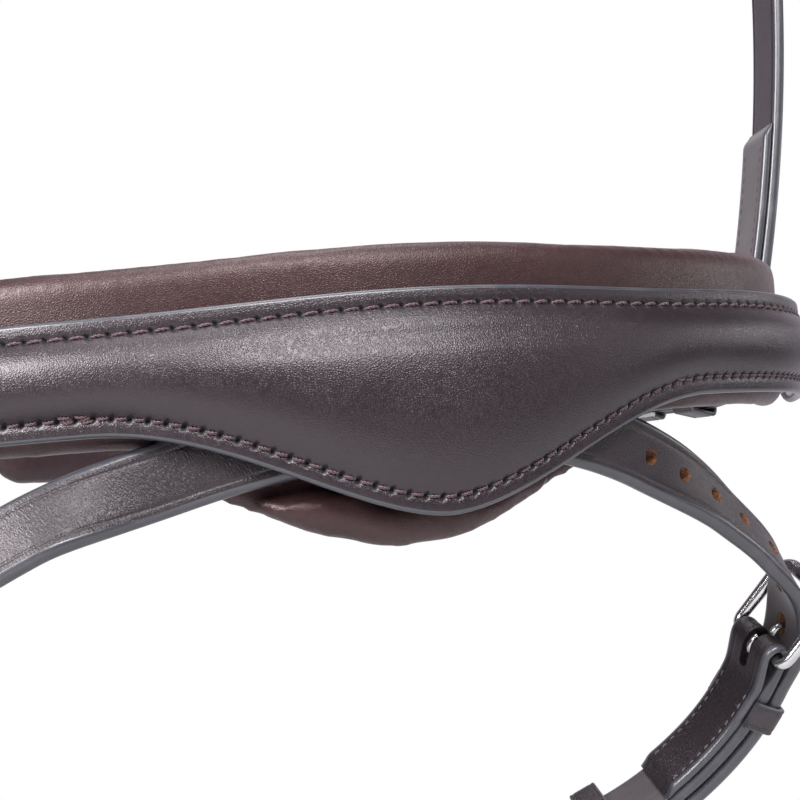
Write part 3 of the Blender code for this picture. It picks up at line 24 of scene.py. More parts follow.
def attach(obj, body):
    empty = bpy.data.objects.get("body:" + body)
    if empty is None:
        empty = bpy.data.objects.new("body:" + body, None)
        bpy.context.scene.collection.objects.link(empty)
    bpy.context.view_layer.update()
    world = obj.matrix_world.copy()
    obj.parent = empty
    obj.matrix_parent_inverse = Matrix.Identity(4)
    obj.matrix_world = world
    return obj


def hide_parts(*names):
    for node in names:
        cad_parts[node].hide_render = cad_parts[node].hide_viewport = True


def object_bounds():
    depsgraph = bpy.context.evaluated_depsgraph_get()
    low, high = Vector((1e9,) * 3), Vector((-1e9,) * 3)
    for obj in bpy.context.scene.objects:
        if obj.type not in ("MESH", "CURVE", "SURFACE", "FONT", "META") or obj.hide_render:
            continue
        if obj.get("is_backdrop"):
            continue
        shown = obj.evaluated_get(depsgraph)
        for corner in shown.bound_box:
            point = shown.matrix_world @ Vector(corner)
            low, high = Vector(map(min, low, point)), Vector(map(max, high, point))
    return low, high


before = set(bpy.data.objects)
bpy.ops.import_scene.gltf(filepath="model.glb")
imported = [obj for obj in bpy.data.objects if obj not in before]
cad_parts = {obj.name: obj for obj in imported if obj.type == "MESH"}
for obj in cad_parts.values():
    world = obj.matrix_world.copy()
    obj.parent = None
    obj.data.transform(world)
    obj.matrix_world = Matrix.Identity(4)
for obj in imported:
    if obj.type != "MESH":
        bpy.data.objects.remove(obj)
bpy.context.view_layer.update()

CUT_ATTRIBUTE = "cut_place"
HOLE_ATTRIBUTE = "hole_depth"
LOG = logging.getLogger("flash_noseband")

Colour = tuple[float, float, float, float]
Height = Callable[[float], float]


class Slot(Enum):
    """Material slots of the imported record."""

    FRONT = "front_leather"
    STRAP = "strap_leather"
    LINING = "lining_leather"
    FELT = "felt"
    METAL = "nickel"


class Face(Enum):
    """Material slot of a strap's faces, by the way the leather shows there."""

    GRAIN = 0
    EDGE = 1
    HOLE = 2
    FLESH = 3


def smooth(value: float, start: float, end: float) -> float:
    """Ease from 0 at start to 1 at end.

    Args:
        value: Where the ease is read.
        start: Where it leaves 0.
        end: Where it reaches 1.

    Returns:
        A share from 0 to 1.
    """
    share = min(max((value - start) / (end - start), 0.0), 1.0)
    return share * share * (3.0 - 2.0 * share)


def eased(value: float, table: Sequence[tuple[float, float]]) -> float:
    """Value of a smooth curve through places and amounts.

    Args:
        value: Where the curve is read.
        table: Pairs of a place and the amount there, with the places rising.

    Returns:
        The amount at value.
    """
    for (place_a, amount_a), (place_b, amount_b) in zip(table, table[1:]):
        if value <= place_b:
            return amount_a + (amount_b - amount_a) * smooth(value, place_a, place_b)
    return table[-1][1]


class Value:
    """Number carried by a shader socket, on which Python's operators add Math nodes."""

    def __init__(self, graph: Graph, socket: bpy.types.NodeSocket) -> None:
        """Wrap a socket of the graph."""
        self.graph = graph
        self.socket = socket

    def _math(self, operation: str, *operands: Value | float) -> Value:
        """Add a Math node.

        Args:
            operation: Name of the node's operation.
            operands: Its values, in order.

        Returns:
            The node's result.
        """
        sockets = dict(enumerate(operands))
        made = self.graph.node("ShaderNodeMath", {"operation": operation}, sockets)
        return Value(self.graph, made.outputs[0])

    def __add__(self, other: Value | float) -> Value:
        """Sum of two values."""
        return self._math("ADD", self, other)

    def __radd__(self, other: float) -> Value:
        """Sum of a number and this value."""
        return self._math("ADD", other, self)

    def __sub__(self, other: Value | float) -> Value:
        """This value less another."""
        return self._math("SUBTRACT", self, other)

    def __rsub__(self, other: float) -> Value:
        """A number less this value."""
        return self._math("SUBTRACT", other, self)

    def __mul__(self, other: Value | float) -> Value:
        """Product of two values."""
        return self._math("MULTIPLY", self, other)

    def __rmul__(self, other: float) -> Value:
        """Product of a number and this value."""
        return self._math("MULTIPLY", other, self)

    def __truediv__(self, other: Value | float) -> Value:
        """This value over another."""
        return self._math("DIVIDE", self, other)

    def __pow__(self, other: float) -> Value:
        """This value raised to a power."""
        return self._math("POWER", self, other)

    def at_most(self, other: Value | float) -> Value:
        """The smaller of two values."""
        return self._math("MINIMUM", self, other)

    def at_least(self, other: Value | float) -> Value:
        """The larger of two values."""
        return self._math("MAXIMUM", self, other)

    def ramp(self, low: float, high: float) -> Value:
        """Smooth rise from 0 at low to 1 at high.

        Args:
            low: Value that becomes 0.
            high: Value that becomes 1.

        Returns:
            The eased share.
        """
        settings = {"interpolation_type": "SMOOTHSTEP"}
        sockets = {"Value": self, "From Min": low, "From Max": high}
        made = self.graph.node("ShaderNodeMapRange", settings, sockets)
        return Value(self.graph, made.outputs[0])


class Graph:
    """Node tree of a material, around its Principled shader, or of the surroundings."""

    def __init__(self, owner: bpy.types.Material | bpy.types.World) -> None:
        """Open the tree of a material or a world."""
        owner.use_nodes = True
        self.owner = owner
        self.tree = owner.node_tree

    def feed(self, socket: bpy.types.NodeSocket, value: object) -> None:
        """Set or link a socket.

        Args:
            socket: Input that takes the value.
            value: A Value, another socket, or what the socket holds by itself.
        """
        if isinstance(value, Value):
            self.tree.links.new(value.socket, socket)
        elif isinstance(value, bpy.types.NodeSocket):
            self.tree.links.new(value, socket)
        else:
            socket.default_value = value

    def node(self, kind: str, settings: dict[str, object] | None = None,
             sockets: dict[str | int, object] | None = None) -> bpy.types.Node:
        """Add a node.

        Args:
            kind: Its Blender type.
            settings: Its settings, which are set first. The stops of a ramp are pairs of a place and a colour.
            sockets: Values or links of its inputs, by name or number.

        Returns:
            The node.
        """
        made = self.tree.nodes.new(kind)
        for name, value in (settings or {}).items():
            if name == "stops":
                elements = made.color_ramp.elements
                while len(elements) < len(value):
                    elements.new(1.0)
                for element, (place, colour) in zip(elements, value):
                    element.position, element.color = place, colour
            else:
                setattr(made, name, value)
        for name, value in (sockets or {}).items():
            self.feed(made.inputs[name], value)
        return made

    def mix(self, share: Value | float, first: object, second: object) -> bpy.types.NodeSocket:
        """Colour between two colours.

        Args:
            share: 0 gives the first and 1 the second.
            first: A colour or a colour socket.
            second: A colour or a colour socket.

        Returns:
            The mixed colour's socket.
        """
        made = self.node("ShaderNodeMix", {"data_type": "RGBA"}, {0: share, 6: first, 7: second})
        return made.outputs[2]

    def body_place(self) -> bpy.types.NodeSocket:
        """Place on the object, in metres."""
        return self.node("ShaderNodeTexCoord").outputs["Object"]

    def cut_place(self) -> bpy.types.NodeSocket:
        """Place on the flat leather before it was bent, in metres."""
        return self.node("ShaderNodeAttribute", {"attribute_name": CUT_ATTRIBUTE}).outputs["Vector"]

    def stretched(self, place: bpy.types.NodeSocket, cells: Sequence[float], turn: float = 0.0) -> bpy.types.NodeSocket:
        """Place counted in cells.

        Args:
            place: Place in metres.
            cells: Size of a cell along each axis.
            turn: Angle in degrees by which the cells are turned in the leather's face.

        Returns:
            The scaled place's socket.
        """
        sockets = {"Vector": place, "Rotation": (0.0, 0.0, math.radians(turn)), "Scale": tuple(cells)}
        return self.node("ShaderNodeMapping", {"vector_type": "TEXTURE"}, sockets).outputs[0]

    def along(self, place: bpy.types.NodeSocket) -> Value:
        """First number of a place: the distance along a flat strap."""
        return Value(self, self.node("ShaderNodeSeparateXYZ", {}, {0: place}).outputs[0])

    def noise(self, place: bpy.types.NodeSocket, scale: float = 1.0, detail: float = 3.0) -> Value:
        """Cloudy noise.

        Args:
            place: Where it is read.
            scale: Clouds in one unit of place.
            detail: Number of finer layers.

        Returns:
            A value around one half.
        """
        made = self.node("ShaderNodeTexNoise", {}, {"Vector": place, "Scale": scale, "Detail": detail})
        return Value(self, made.outputs[0])

    def cells(self, place: bpy.types.NodeSocket, scale: float = 1.0, feature: str = "DISTANCE_TO_EDGE") -> Value:
        """Distance inside irregular cells.

        Args:
            place: Where it is read.
            scale: Cells in one unit of place.
            feature: Which distance is taken.

        Returns:
            The distance, in cells.
        """
        made = self.node("ShaderNodeTexVoronoi", {"feature": feature}, {"Vector": place, "Scale": scale})
        return Value(self, made.outputs["Distance"])

    def bump(self, height: Value, depth: float, below: bpy.types.NodeSocket | None = None) -> bpy.types.NodeSocket:
        """Normal of a surface with relief.

        Args:
            height: Relief from 0 to 1.
            depth: Height of the relief in metres.
            below: Normal of a coarser relief under it.

        Returns:
            The normal's socket.
        """
        sockets: dict[str | int, object] = {"Height": height, "Distance": depth, "Strength": 1.0}
        if below is not None:
            sockets["Normal"] = below
        return self.node("ShaderNodeBump", {}, sockets).outputs[0]

    def finish(self, base: object, roughness: object, normal: bpy.types.NodeSocket | None = None,
               **constants: object) -> bpy.types.Material:
        """Feed the shader.

        Args:
            base: Base colour, set or linked.
            roughness: Roughness, set or linked.
            normal: Normal of the relief.
            constants: Settings of the shader that are the same all over, by socket name with underscores.

        Returns:
            The material.
        """
        shader = self.tree.nodes["Principled BSDF"]
        self.feed(shader.inputs["Base Color"], base)
        self.feed(shader.inputs["Roughness"], roughness)
        if normal is not None:
            self.feed(shader.inputs["Normal"], normal)
        for name, value in constants.items():
            shader.inputs[name.replace("_", " ").title().replace("Ior", "IOR")].default_value = value
        return self.owner


@dataclass(frozen=True)
class Leather:
    """Finish of a dressed leather, with its grain drawn on the flat hide."""

    name: str
    base: Colour
    # deep: colour of the painted shade in the grain's creases, and the dark end of the random mottle
    deep: Colour
    bloom: Colour
    roughness: float
    pebble: float = 0.00052
    pebble_depth: float = 0.000048
    wrinkle: tuple[float, float, float] = (0.00070, 0.0017, 0.00070)
    wrinkle_turn: float = 16.0
    wrinkle_depth: float = 0.0
    wrinkle_until: tuple[float, float] = (-0.045, 0.010)
    gloss: Colour = (1.0, 0.93, 0.98, 1.0)

    def material(self) -> bpy.types.Material:
        """Material of this leather."""
        graph = Graph(bpy.data.materials.new(self.name))
        place = graph.cut_place()
        cloud = graph.noise(place, 38.0, 3.0)
        mottle = graph.noise(place, 420.0, 4.0)
        pebbles = graph.cells(graph.stretched(place, (self.pebble,) * 3))
        pores = graph.noise(place, 1.0 / (self.pebble * 0.45), 2.0)
        relief = (pebbles.ramp(0.0, 0.40) * 0.7 + pores * 0.3) * (0.6 + cloud * 0.8)
        normal = graph.bump(relief, self.pebble_depth)
        # Painted shade: the colour darkens towards deep in the creases between the pebbles; the mottle part is the
        # hide's random tone
        shade = (1.0 - pebbles.ramp(0.0, 0.22)) * 0.30 + mottle * 0.25
        if self.wrinkle_depth > 0.0:
            folds = graph.cells(graph.stretched(place, self.wrinkle, self.wrinkle_turn))
            patches = 0.35 + 0.65 * graph.noise(place, 160.0, 1.0).ramp(0.32, 0.58)
            where = patches * (1.0 - graph.along(place).ramp(*self.wrinkle_until))
            ridges = folds.ramp(0.0, 0.42)
            normal = graph.bump(ridges * where, self.wrinkle_depth, normal)
            # Painted shade: the colour darkens further in the creases of the wrinkles
            shade = shade + (1.0 - folds.ramp(0.0, 0.16)) * where * 0.45
        hole = Value(graph, graph.node("ShaderNodeAttribute", {"attribute_name": HOLE_ATTRIBUTE}).outputs["Fac"])
        colour = graph.mix(cloud.ramp(0.35, 0.70) * 0.5, self.base, self.bloom)
        colour = graph.mix(shade.at_most(1.0), colour, self.deep)
        # Painted shade: the awl holes are painted near black, as the shade inside a hole
        colour = graph.mix(hole.ramp(0.04, 0.30), colour, (0.0012, 0.0008, 0.0010, 1.0))
        rough = self.roughness + (mottle - 0.5) * 0.14 + (cloud - 0.5) * 0.10 + hole.ramp(0.0, 0.22) * 0.50
        return graph.finish(colour, rough, normal, specular_tint=self.gloss)


@dataclass(frozen=True)
class FleshSide:
    """Finish of a strap's inner face: dyed, slicked down and duller than the grain, with faint long fibres."""

    name: str = "flesh_side"
    base: Colour = (0.040, 0.031, 0.037, 1.0)
    deep: Colour = (0.020, 0.015, 0.018, 1.0)
    fibre: tuple[float, float, float] = (0.0120, 0.00070, 0.0020)

    def material(self) -> bpy.types.Material:
        """Material of the inner faces."""
        graph = Graph(bpy.data.materials.new(self.name))
        place = graph.cut_place()
        fibres = graph.noise(graph.stretched(place, self.fibre), 1.0, 3.0)
        cloud = graph.noise(place, 90.0, 3.0)
        nap = graph.noise(place, 1900.0, 2.0)
        shade = fibres.ramp(0.35, 0.70) * 0.5 + cloud.ramp(0.35, 0.65) * 0.35
        rough = 0.60 + (cloud - 0.5) * 0.2
        normal = graph.bump(fibres * 0.6 + nap * 0.4, 0.00004)
        return graph.finish(graph.mix(shade, self.base, self.deep), rough, normal, sheen_weight=0.15)


@dataclass(frozen=True)
class SoftLeather:
    """Finish of the soft lining, whose grain is drawn in space because its cover is shaped and not cut flat."""

    name: str
    base: Colour
    deep: Colour
    bloom: Colour
    roughness: float = 0.40
    pebble: float = 0.00052
    pebble_depth: float = 0.00006
    nap: Colour = (0.84, 0.70, 0.71, 1.0)

    def material(self) -> bpy.types.Material:
        """Material of the lining."""
        graph = Graph(bpy.data.materials.new(self.name))
        place = graph.body_place()
        cloud = graph.noise(place, 30.0, 3.0)
        mottle = graph.noise(place, 700.0, 3.0)
        pebbles = graph.cells(graph.stretched(place, (self.pebble,) * 3))
        fine = graph.noise(place, 2900.0, 2.0)
        relief = pebbles.ramp(0.0, 0.40) * 0.55 + fine * 0.45
        normal = graph.bump(relief, self.pebble_depth)
        # Painted shade: darker towards deep in the creases between the pebbles; the mottle part is random tone
        shade = (1.0 - pebbles.ramp(0.0, 0.25)) * 0.30 + mottle.ramp(0.40, 0.68) * 0.40
        colour = graph.mix(cloud.ramp(0.32, 0.68) * 0.6, self.base, self.bloom)
        colour = graph.mix(shade.at_most(1.0), colour, self.deep)
        rough = self.roughness + (mottle - 0.5) * 0.20
        return graph.finish(colour, rough, normal, sheen_weight=0.06, sheen_roughness=0.40, sheen_tint=self.nap,
                            specular_tint=self.nap)


@dataclass(frozen=True)
class EdgePaint:
    """Finish of a cut edge that is sealed with paint and burnished."""

    name: str = "edge_paint"
    base: Colour = (0.030, 0.030, 0.038, 1.0)
    thin: Colour = (0.060, 0.054, 0.062, 1.0)
    roughness: float = 0.33

    def material(self) -> bpy.types.Material:
        """Material of the edges."""
        graph = Graph(bpy.data.materials.new(self.name))
        place = graph.body_place()
        cloud = graph.noise(place, 160.0, 4.0)
        ripple = graph.noise(place, 700.0, 2.0)
        colour = graph.mix(cloud.ramp(0.45, 0.75) * 0.6, self.base, self.thin)
        rough = self.roughness + (cloud - 0.5) * 0.20
        return graph.finish(colour, rough, graph.bump(ripple, 0.00004), specular_ior_level=0.6)


@dataclass(frozen=True)
class RawLeather:
    """Finish of undyed leather inside a punched hole."""

    name: str = "raw_leather"
    base: Colour = (0.190, 0.078, 0.032, 1.0)
    burnt: Colour = (0.030, 0.012, 0.008, 1.0)

    def material(self) -> bpy.types.Material:
        """Material of the holes' walls."""
        graph = Graph(bpy.data.materials.new(self.name))
        fibres = graph.noise(graph.body_place(), 1800.0, 3.0)
        colour = graph.mix(fibres.ramp(0.35, 0.75), self.base, self.burnt)
        return graph.finish(colour, 0.85, graph.bump(fibres, 0.00008))


@dataclass(frozen=True)
class Thread:
    """Finish of waxed thread."""

    name: str
    base: Colour
    dark: Colour

    def material(self) -> bpy.types.Material:
        """Material of the thread."""
        graph = Graph(bpy.data.materials.new(self.name))
        place = graph.body_place()
        fibres = graph.noise(place, 5200.0, 2.0)
        cloud = graph.noise(place, 240.0, 2.0)
        colour = graph.mix(fibres.ramp(0.40, 0.75) * 0.6 + cloud * 0.2, self.base, self.dark)
        return graph.finish(colour, 0.48, graph.bump(fibres, 0.00004), sheen_weight=0.20)


@dataclass(frozen=True)
class Metal:
    """Finish of polished nickel with faint handling marks."""

    name: str = "polished_nickel"
    base: Colour = (0.50, 0.49, 0.50, 1.0)
    tarnish: Colour = (0.30, 0.29, 0.30, 1.0)
    roughness: float = 0.18

    def material(self) -> bpy.types.Material:
        """Material of the buckles."""
        graph = Graph(bpy.data.materials.new(self.name))
        place = graph.body_place()
        cloud = graph.noise(place, 190.0, 4.0)
        marks = graph.noise(graph.stretched(place, (0.0007, 0.0060, 0.0009)), 1.0, 5.0)
        colour = graph.mix(cloud.ramp(0.45, 0.80) * 0.6, self.base, self.tarnish)
        rough = self.roughness + cloud * 0.10 + marks.ramp(0.5, 0.8) * 0.08
        return graph.finish(colour, rough, graph.bump(marks, 0.000012), metallic=1.0)


@dataclass(frozen=True)
class Felt:
    """Finish of the felt filler inside the front."""

    name: str = "filler_felt"
    base: Colour = (0.30, 0.24, 0.19, 1.0)
    deep: Colour = (0.18, 0.14, 0.11, 1.0)

    def material(self) -> bpy.types.Material:
        """Material of the filler."""
        graph = Graph(bpy.data.materials.new(self.name))
        hairs = graph.noise(graph.body_place(), 1500.0, 4.0)
        return graph.finish(graph.mix(hairs, self.base, self.deep), 0.95, graph.bump(hairs, 0.0002))


@dataclass(frozen=True)
class StudioPaper:
    """Finish of the pale floor."""

    name: str = "studio_paper"
    base: Colour = (0.60, 0.60, 0.60, 1.0)
    shade: Colour = (0.56, 0.56, 0.57, 1.0)
    rim: float = 0.92
    fade: float = 0.40

    def material(self) -> bpy.types.Material:
        """Material of the floor."""
        graph = Graph(bpy.data.materials.new(self.name))
        place = graph.body_place()
        fibres = graph.noise(place, 60.0, 4.0)
        away = Value(graph, graph.node("ShaderNodeVectorMath", {"operation": "LENGTH"}, {0: place}).outputs["Value"])
        shown = 1.0 - away.ramp(self.rim - self.fade, self.rim * 0.98)
        graph.feed(graph.tree.nodes["Principled BSDF"].inputs["Alpha"], shown)
        return graph.finish(graph.mix(fibres, self.base, self.shade), 0.9)


@dataclass
class Finishes:
    """The finishes of the whole noseband."""

    front: bpy.types.Material = field(init=False)
    strap: bpy.types.Material = field(init=False)
    flash: bpy.types.Material = field(init=False)
    headpiece: bpy.types.Material = field(init=False)
    flesh: bpy.types.Material = field(init=False)
    lining: bpy.types.Material = field(init=False)
    shaded_chin_lining: bpy.types.Material = field(init=False)
    edge: bpy.types.Material = field(init=False)
    raw: bpy.types.Material = field(init=False)
    seam_thread: bpy.types.Material = field(init=False)
    strap_thread: bpy.types.Material = field(init=False)
    metal: bpy.types.Material = field(init=False)
    felt: bpy.types.Material = field(init=False)

    def __post_init__(self) -> None:
        """Make every material once."""
        self.front = Leather("front_leather", base=(0.0125, 0.0078, 0.0100, 1.0), deep=(0.0050, 0.0028, 0.0038, 1.0),
                             bloom=(0.0200, 0.0135, 0.0165, 1.0), roughness=0.35).material()
        self.strap = Leather("strap_leather", base=(0.0165, 0.0112, 0.0140, 1.0), deep=(0.0060, 0.0038, 0.0050, 1.0),
                             bloom=(0.0280, 0.0205, 0.0245, 1.0), roughness=0.40).material()
        self.flash = Leather("flash_leather", base=(0.0120, 0.0082, 0.0100, 1.0), deep=(0.0045, 0.0028, 0.0036, 1.0),
                             bloom=(0.0210, 0.0150, 0.0178, 1.0), roughness=0.42, wrinkle_depth=0.000060).material()
        # Painted highlight: the headpiece's grain is a much lighter copy of the strap leather, standing in for the
        # strong reflection off it
        self.headpiece = Leather("headpiece_lit_leather", base=(0.070, 0.061, 0.073, 1.0), deep=(0.036, 0.030, 0.037, 1.0),
                                 bloom=(0.092, 0.082, 0.096, 1.0), roughness=0.44, pebble_depth=0.00004).material()
        self.flesh = FleshSide().material()
        self.lining = SoftLeather("soft_lining", (0.0240, 0.0088, 0.0095, 1.0), (0.0080, 0.0027, 0.0033, 1.0),
                                  (0.0350, 0.0145, 0.0150, 1.0)).material()
        # Painted shade: a darker copy of the soft lining for the chin pad, which lies in shade at the back of the chin
        self.shaded_chin_lining = SoftLeather("shaded_chin_lining", (0.016, 0.0072, 0.0096, 1.0), (0.008, 0.0032, 0.0048, 1.0),
                                       (0.024, 0.012, 0.015, 1.0)).material()
        self.edge = EdgePaint().material()
        self.raw = RawLeather().material()
        self.seam_thread = Thread("seam_thread", (0.052, 0.019, 0.027, 1.0), (0.017, 0.005, 0.008, 1.0)).material()
        self.strap_thread = Thread("strap_thread", (0.095, 0.076, 0.084, 1.0), (0.036, 0.027, 0.031, 1.0)).material()
        self.metal = Metal().material()
        self.felt = Felt().material()

    @property
    def strap_faces(self) -> list[bpy.types.Material]:
        """Materials of a strap, in the order of Face."""
        return [self.strap, self.edge, self.raw, self.flesh]

    @property
    def lit_headpiece_faces(self) -> list[bpy.types.Material]:
        """Materials of the headpiece, in the order of Face, its grain a lighter copy of the strap leather as a painted
        highlight.
        """
        return [self.headpiece, self.edge, self.raw, self.flesh]

    @property
    def flash_faces(self) -> list[bpy.types.Material]:
        """Materials of the flash strap, in the order of Face."""
        return [self.flash, self.edge, self.raw, self.flesh]

    @property
    def front_faces(self) -> list[bpy.types.Material]:
        """Materials of the front's leathers, in the order of Face."""
        return [self.front, self.edge, self.raw, self.flesh]


@dataclass
class Line:
    """A line that a strap follows, with the directions across the strap and out of its face."""

    points: list[Vector]
    acrosses: list[Vector]
    outwards: list[Vector]
    distances: list[float]
    closed: bool

    @property
    def length(self) -> float:
        """Length of the whole line."""
        return self.distances[-1] - self.distances[0]

    def read(self, s: float) -> tuple[Vector, Vector, Vector]:
        """Point, across and outward directions at a distance.

        Args:
            s: Distance along the line.

        Returns:
            The three vectors.
        """
        if self.closed:
            s = self.distances[0] + (s - self.distances[0]) % self.length
        index = min(max(bisect_right(self.distances, s) - 1, 0), len(self.distances) - 2)
        share = (s - self.distances[index]) / (self.distances[index + 1] - self.distances[index])
        rows = (self.points, self.acrosses, self.outwards)
        return tuple(row[index].lerp(row[index + 1], share) for row in rows)

    def place(self, s: float, v: float, o: float) -> Vector:
        """Point of the worn strap.

        Args:
            s: Distance along the strap.
            v: Distance across it.
            o: Distance outwards.

        Returns:
            The point.
        """
        point, across, outward = self.read(s)
        return point + across * v + outward * o

    def axes(self, s: float, o: float, direction: int = 1) -> Matrix:
        """Axes at a distance: X along the strap times direction, Z outwards.

        Args:
            s: Distance along the strap.
            o: Distance outwards.
            direction: 1 or -1.

        Returns:
            The matrix from those axes to the noseband's.
        """
        point, across, outward = self.read(s)
        z_axis = outward.normalized()
        x_axis = across.cross(z_axis).normalized() * direction
        matrix = Matrix((x_axis, z_axis.cross(x_axis), z_axis)).transposed().to_4x4()
        matrix.translation = point + outward * o
        return matrix

    def climbing_axes(self, s: float, o: float, reach: float) -> Matrix:
        """Axes at a distance whose X follows the strap where it climbs, Z outwards.

        Args:
            s: Distance along the strap.
            o: Distance outwards.
            reach: Length over which the climb is taken.

        Returns:
            The matrix from those axes to the noseband's.
        """
        axes = self.axes(s, o)
        z_axis = axes.col[2].to_3d()
        along = self.place(s + reach / 2.0, 0.0, o) - self.place(s - reach / 2.0, 0.0, o)
        x_axis = (along - z_axis * along.dot(z_axis)).normalized()
        matrix = Matrix((x_axis, z_axis.cross(x_axis), z_axis)).transposed().to_4x4()
        matrix.translation = axes.translation
        return matrix

    @staticmethod
    def running(points: Sequence[Vector]) -> list[float]:
        """Distance along a list of points."""
        lengths = [0.0]
        for a, b in zip(points, points[1:]):
            lengths.append(lengths[-1] + (b - a).length)
        return lengths

    @classmethod
    def squared(cls, points: list[Vector], acrosses: list[Vector], closed: bool) -> Line:
        """Line through points, with each across direction squared to it.

        Args:
            points: The line's points.
            acrosses: A rough across direction at each one.
            closed: Whether the line closes on itself, and then starts half way round.

        Returns:
            The line.
        """
        lengths = cls.running(points)
        square, outwards = [], []
        last = len(points) - 1
        for index, across in enumerate(acrosses):
            before = points[index - 1] if index > 0 else points[last - 1 if closed else 0]
            after = points[index + 1] if index < last else points[1 if closed else last]
            along = (after - before).normalized()
            across = (across - along * across.dot(along)).normalized()
            square.append(across)
            outwards.append(along.cross(across))
        middle = lengths[last // 2] if closed else 0.0
        return cls(points, square, outwards, [length - middle for length in lengths], closed)


@dataclass(frozen=True)
class Layers:
    """Thicknesses of what is sewn together, and how far out each layer lies."""

    gap: float = 0.0003
    front: float = 0.0022
    backing: float = 0.0018
    strap: float = 0.0030
    flash: float = 0.0040
    turnback: float = 0.0025
    turnback_end: float = 0.0007
    wrap: float = 0.0020
    loop: float = 0.0016
    hanger_seat: float = 0.0008

    @property
    def backing_o(self) -> float:
        """Outer face of the backing."""
        return -self.front - self.gap

    @property
    def pad_o(self) -> float:
        """Outer face of the lining."""
        return self.backing_o - self.backing - self.gap

    @property
    def flash_o(self) -> float:
        """Middle of the flash strap behind the front."""
        return self.pad_o - self.flash / 2.0

    @property
    def nose_strap_o(self) -> float:
        """Middle of the chin strap and the near chape."""
        return self.backing_o - self.strap / 2.0

    @property
    def slip_o(self) -> float:
        """Middle of the headpiece where it lies on the noseband."""
        return self.backing_o - self.strap - self.gap - self.hanger_seat - self.strap / 2.0


@dataclass(frozen=True)
class FrontPattern:
    """Cutting pattern of the front: two seams, a margin outside them and a crown between them."""

    seam_spacing: float = 0.0170
    margin: float = 0.0040
    top_swell: float = 0.0023
    top_reach: float = 0.075
    drop_depth: float = 0.0221
    drop_reach: float = 0.077
    drop_power: float = 0.87
    crown_height: float = 0.0036
    drop_crown: float = 0.0012
    crown_power: float = 2.4

    def drop(self, s: float) -> float:
        """Share of the drop's depth at a distance from its middle."""
        share = min(abs(s) / self.drop_reach, 1.0)
        return 0.5 + 0.5 * math.cos(math.pi * share ** self.drop_power)

    def top_seam(self, s: float) -> float:
        """Height of the upper seam."""
        share = min(abs(s) / self.top_reach, 1.0)
        return self.seam_spacing / 2.0 + self.top_swell * (0.5 + 0.5 * math.cos(math.pi * share))

    def low_seam(self, s: float) -> float:
        """Height of the lower seam."""
        return -self.seam_spacing / 2.0 - self.drop_depth * self.drop(s)

    def crown(self, s: float, v: float) -> float:
        """How far the leather stands out between the seams.

        Args:
            s: Distance from the front's middle.
            v: Height.

        Returns:
            The offset, 0 outside the seams.
        """
        high, low = self.top_seam(s), self.low_seam(s)
        inside = min(v - low, high - v) / ((high - low) / 2.0)
        if inside <= 0.0:
            return 0.0
        height = self.crown_height + self.drop_crown * self.drop(s)
        return height * (1.0 - (1.0 - inside) ** self.crown_power)


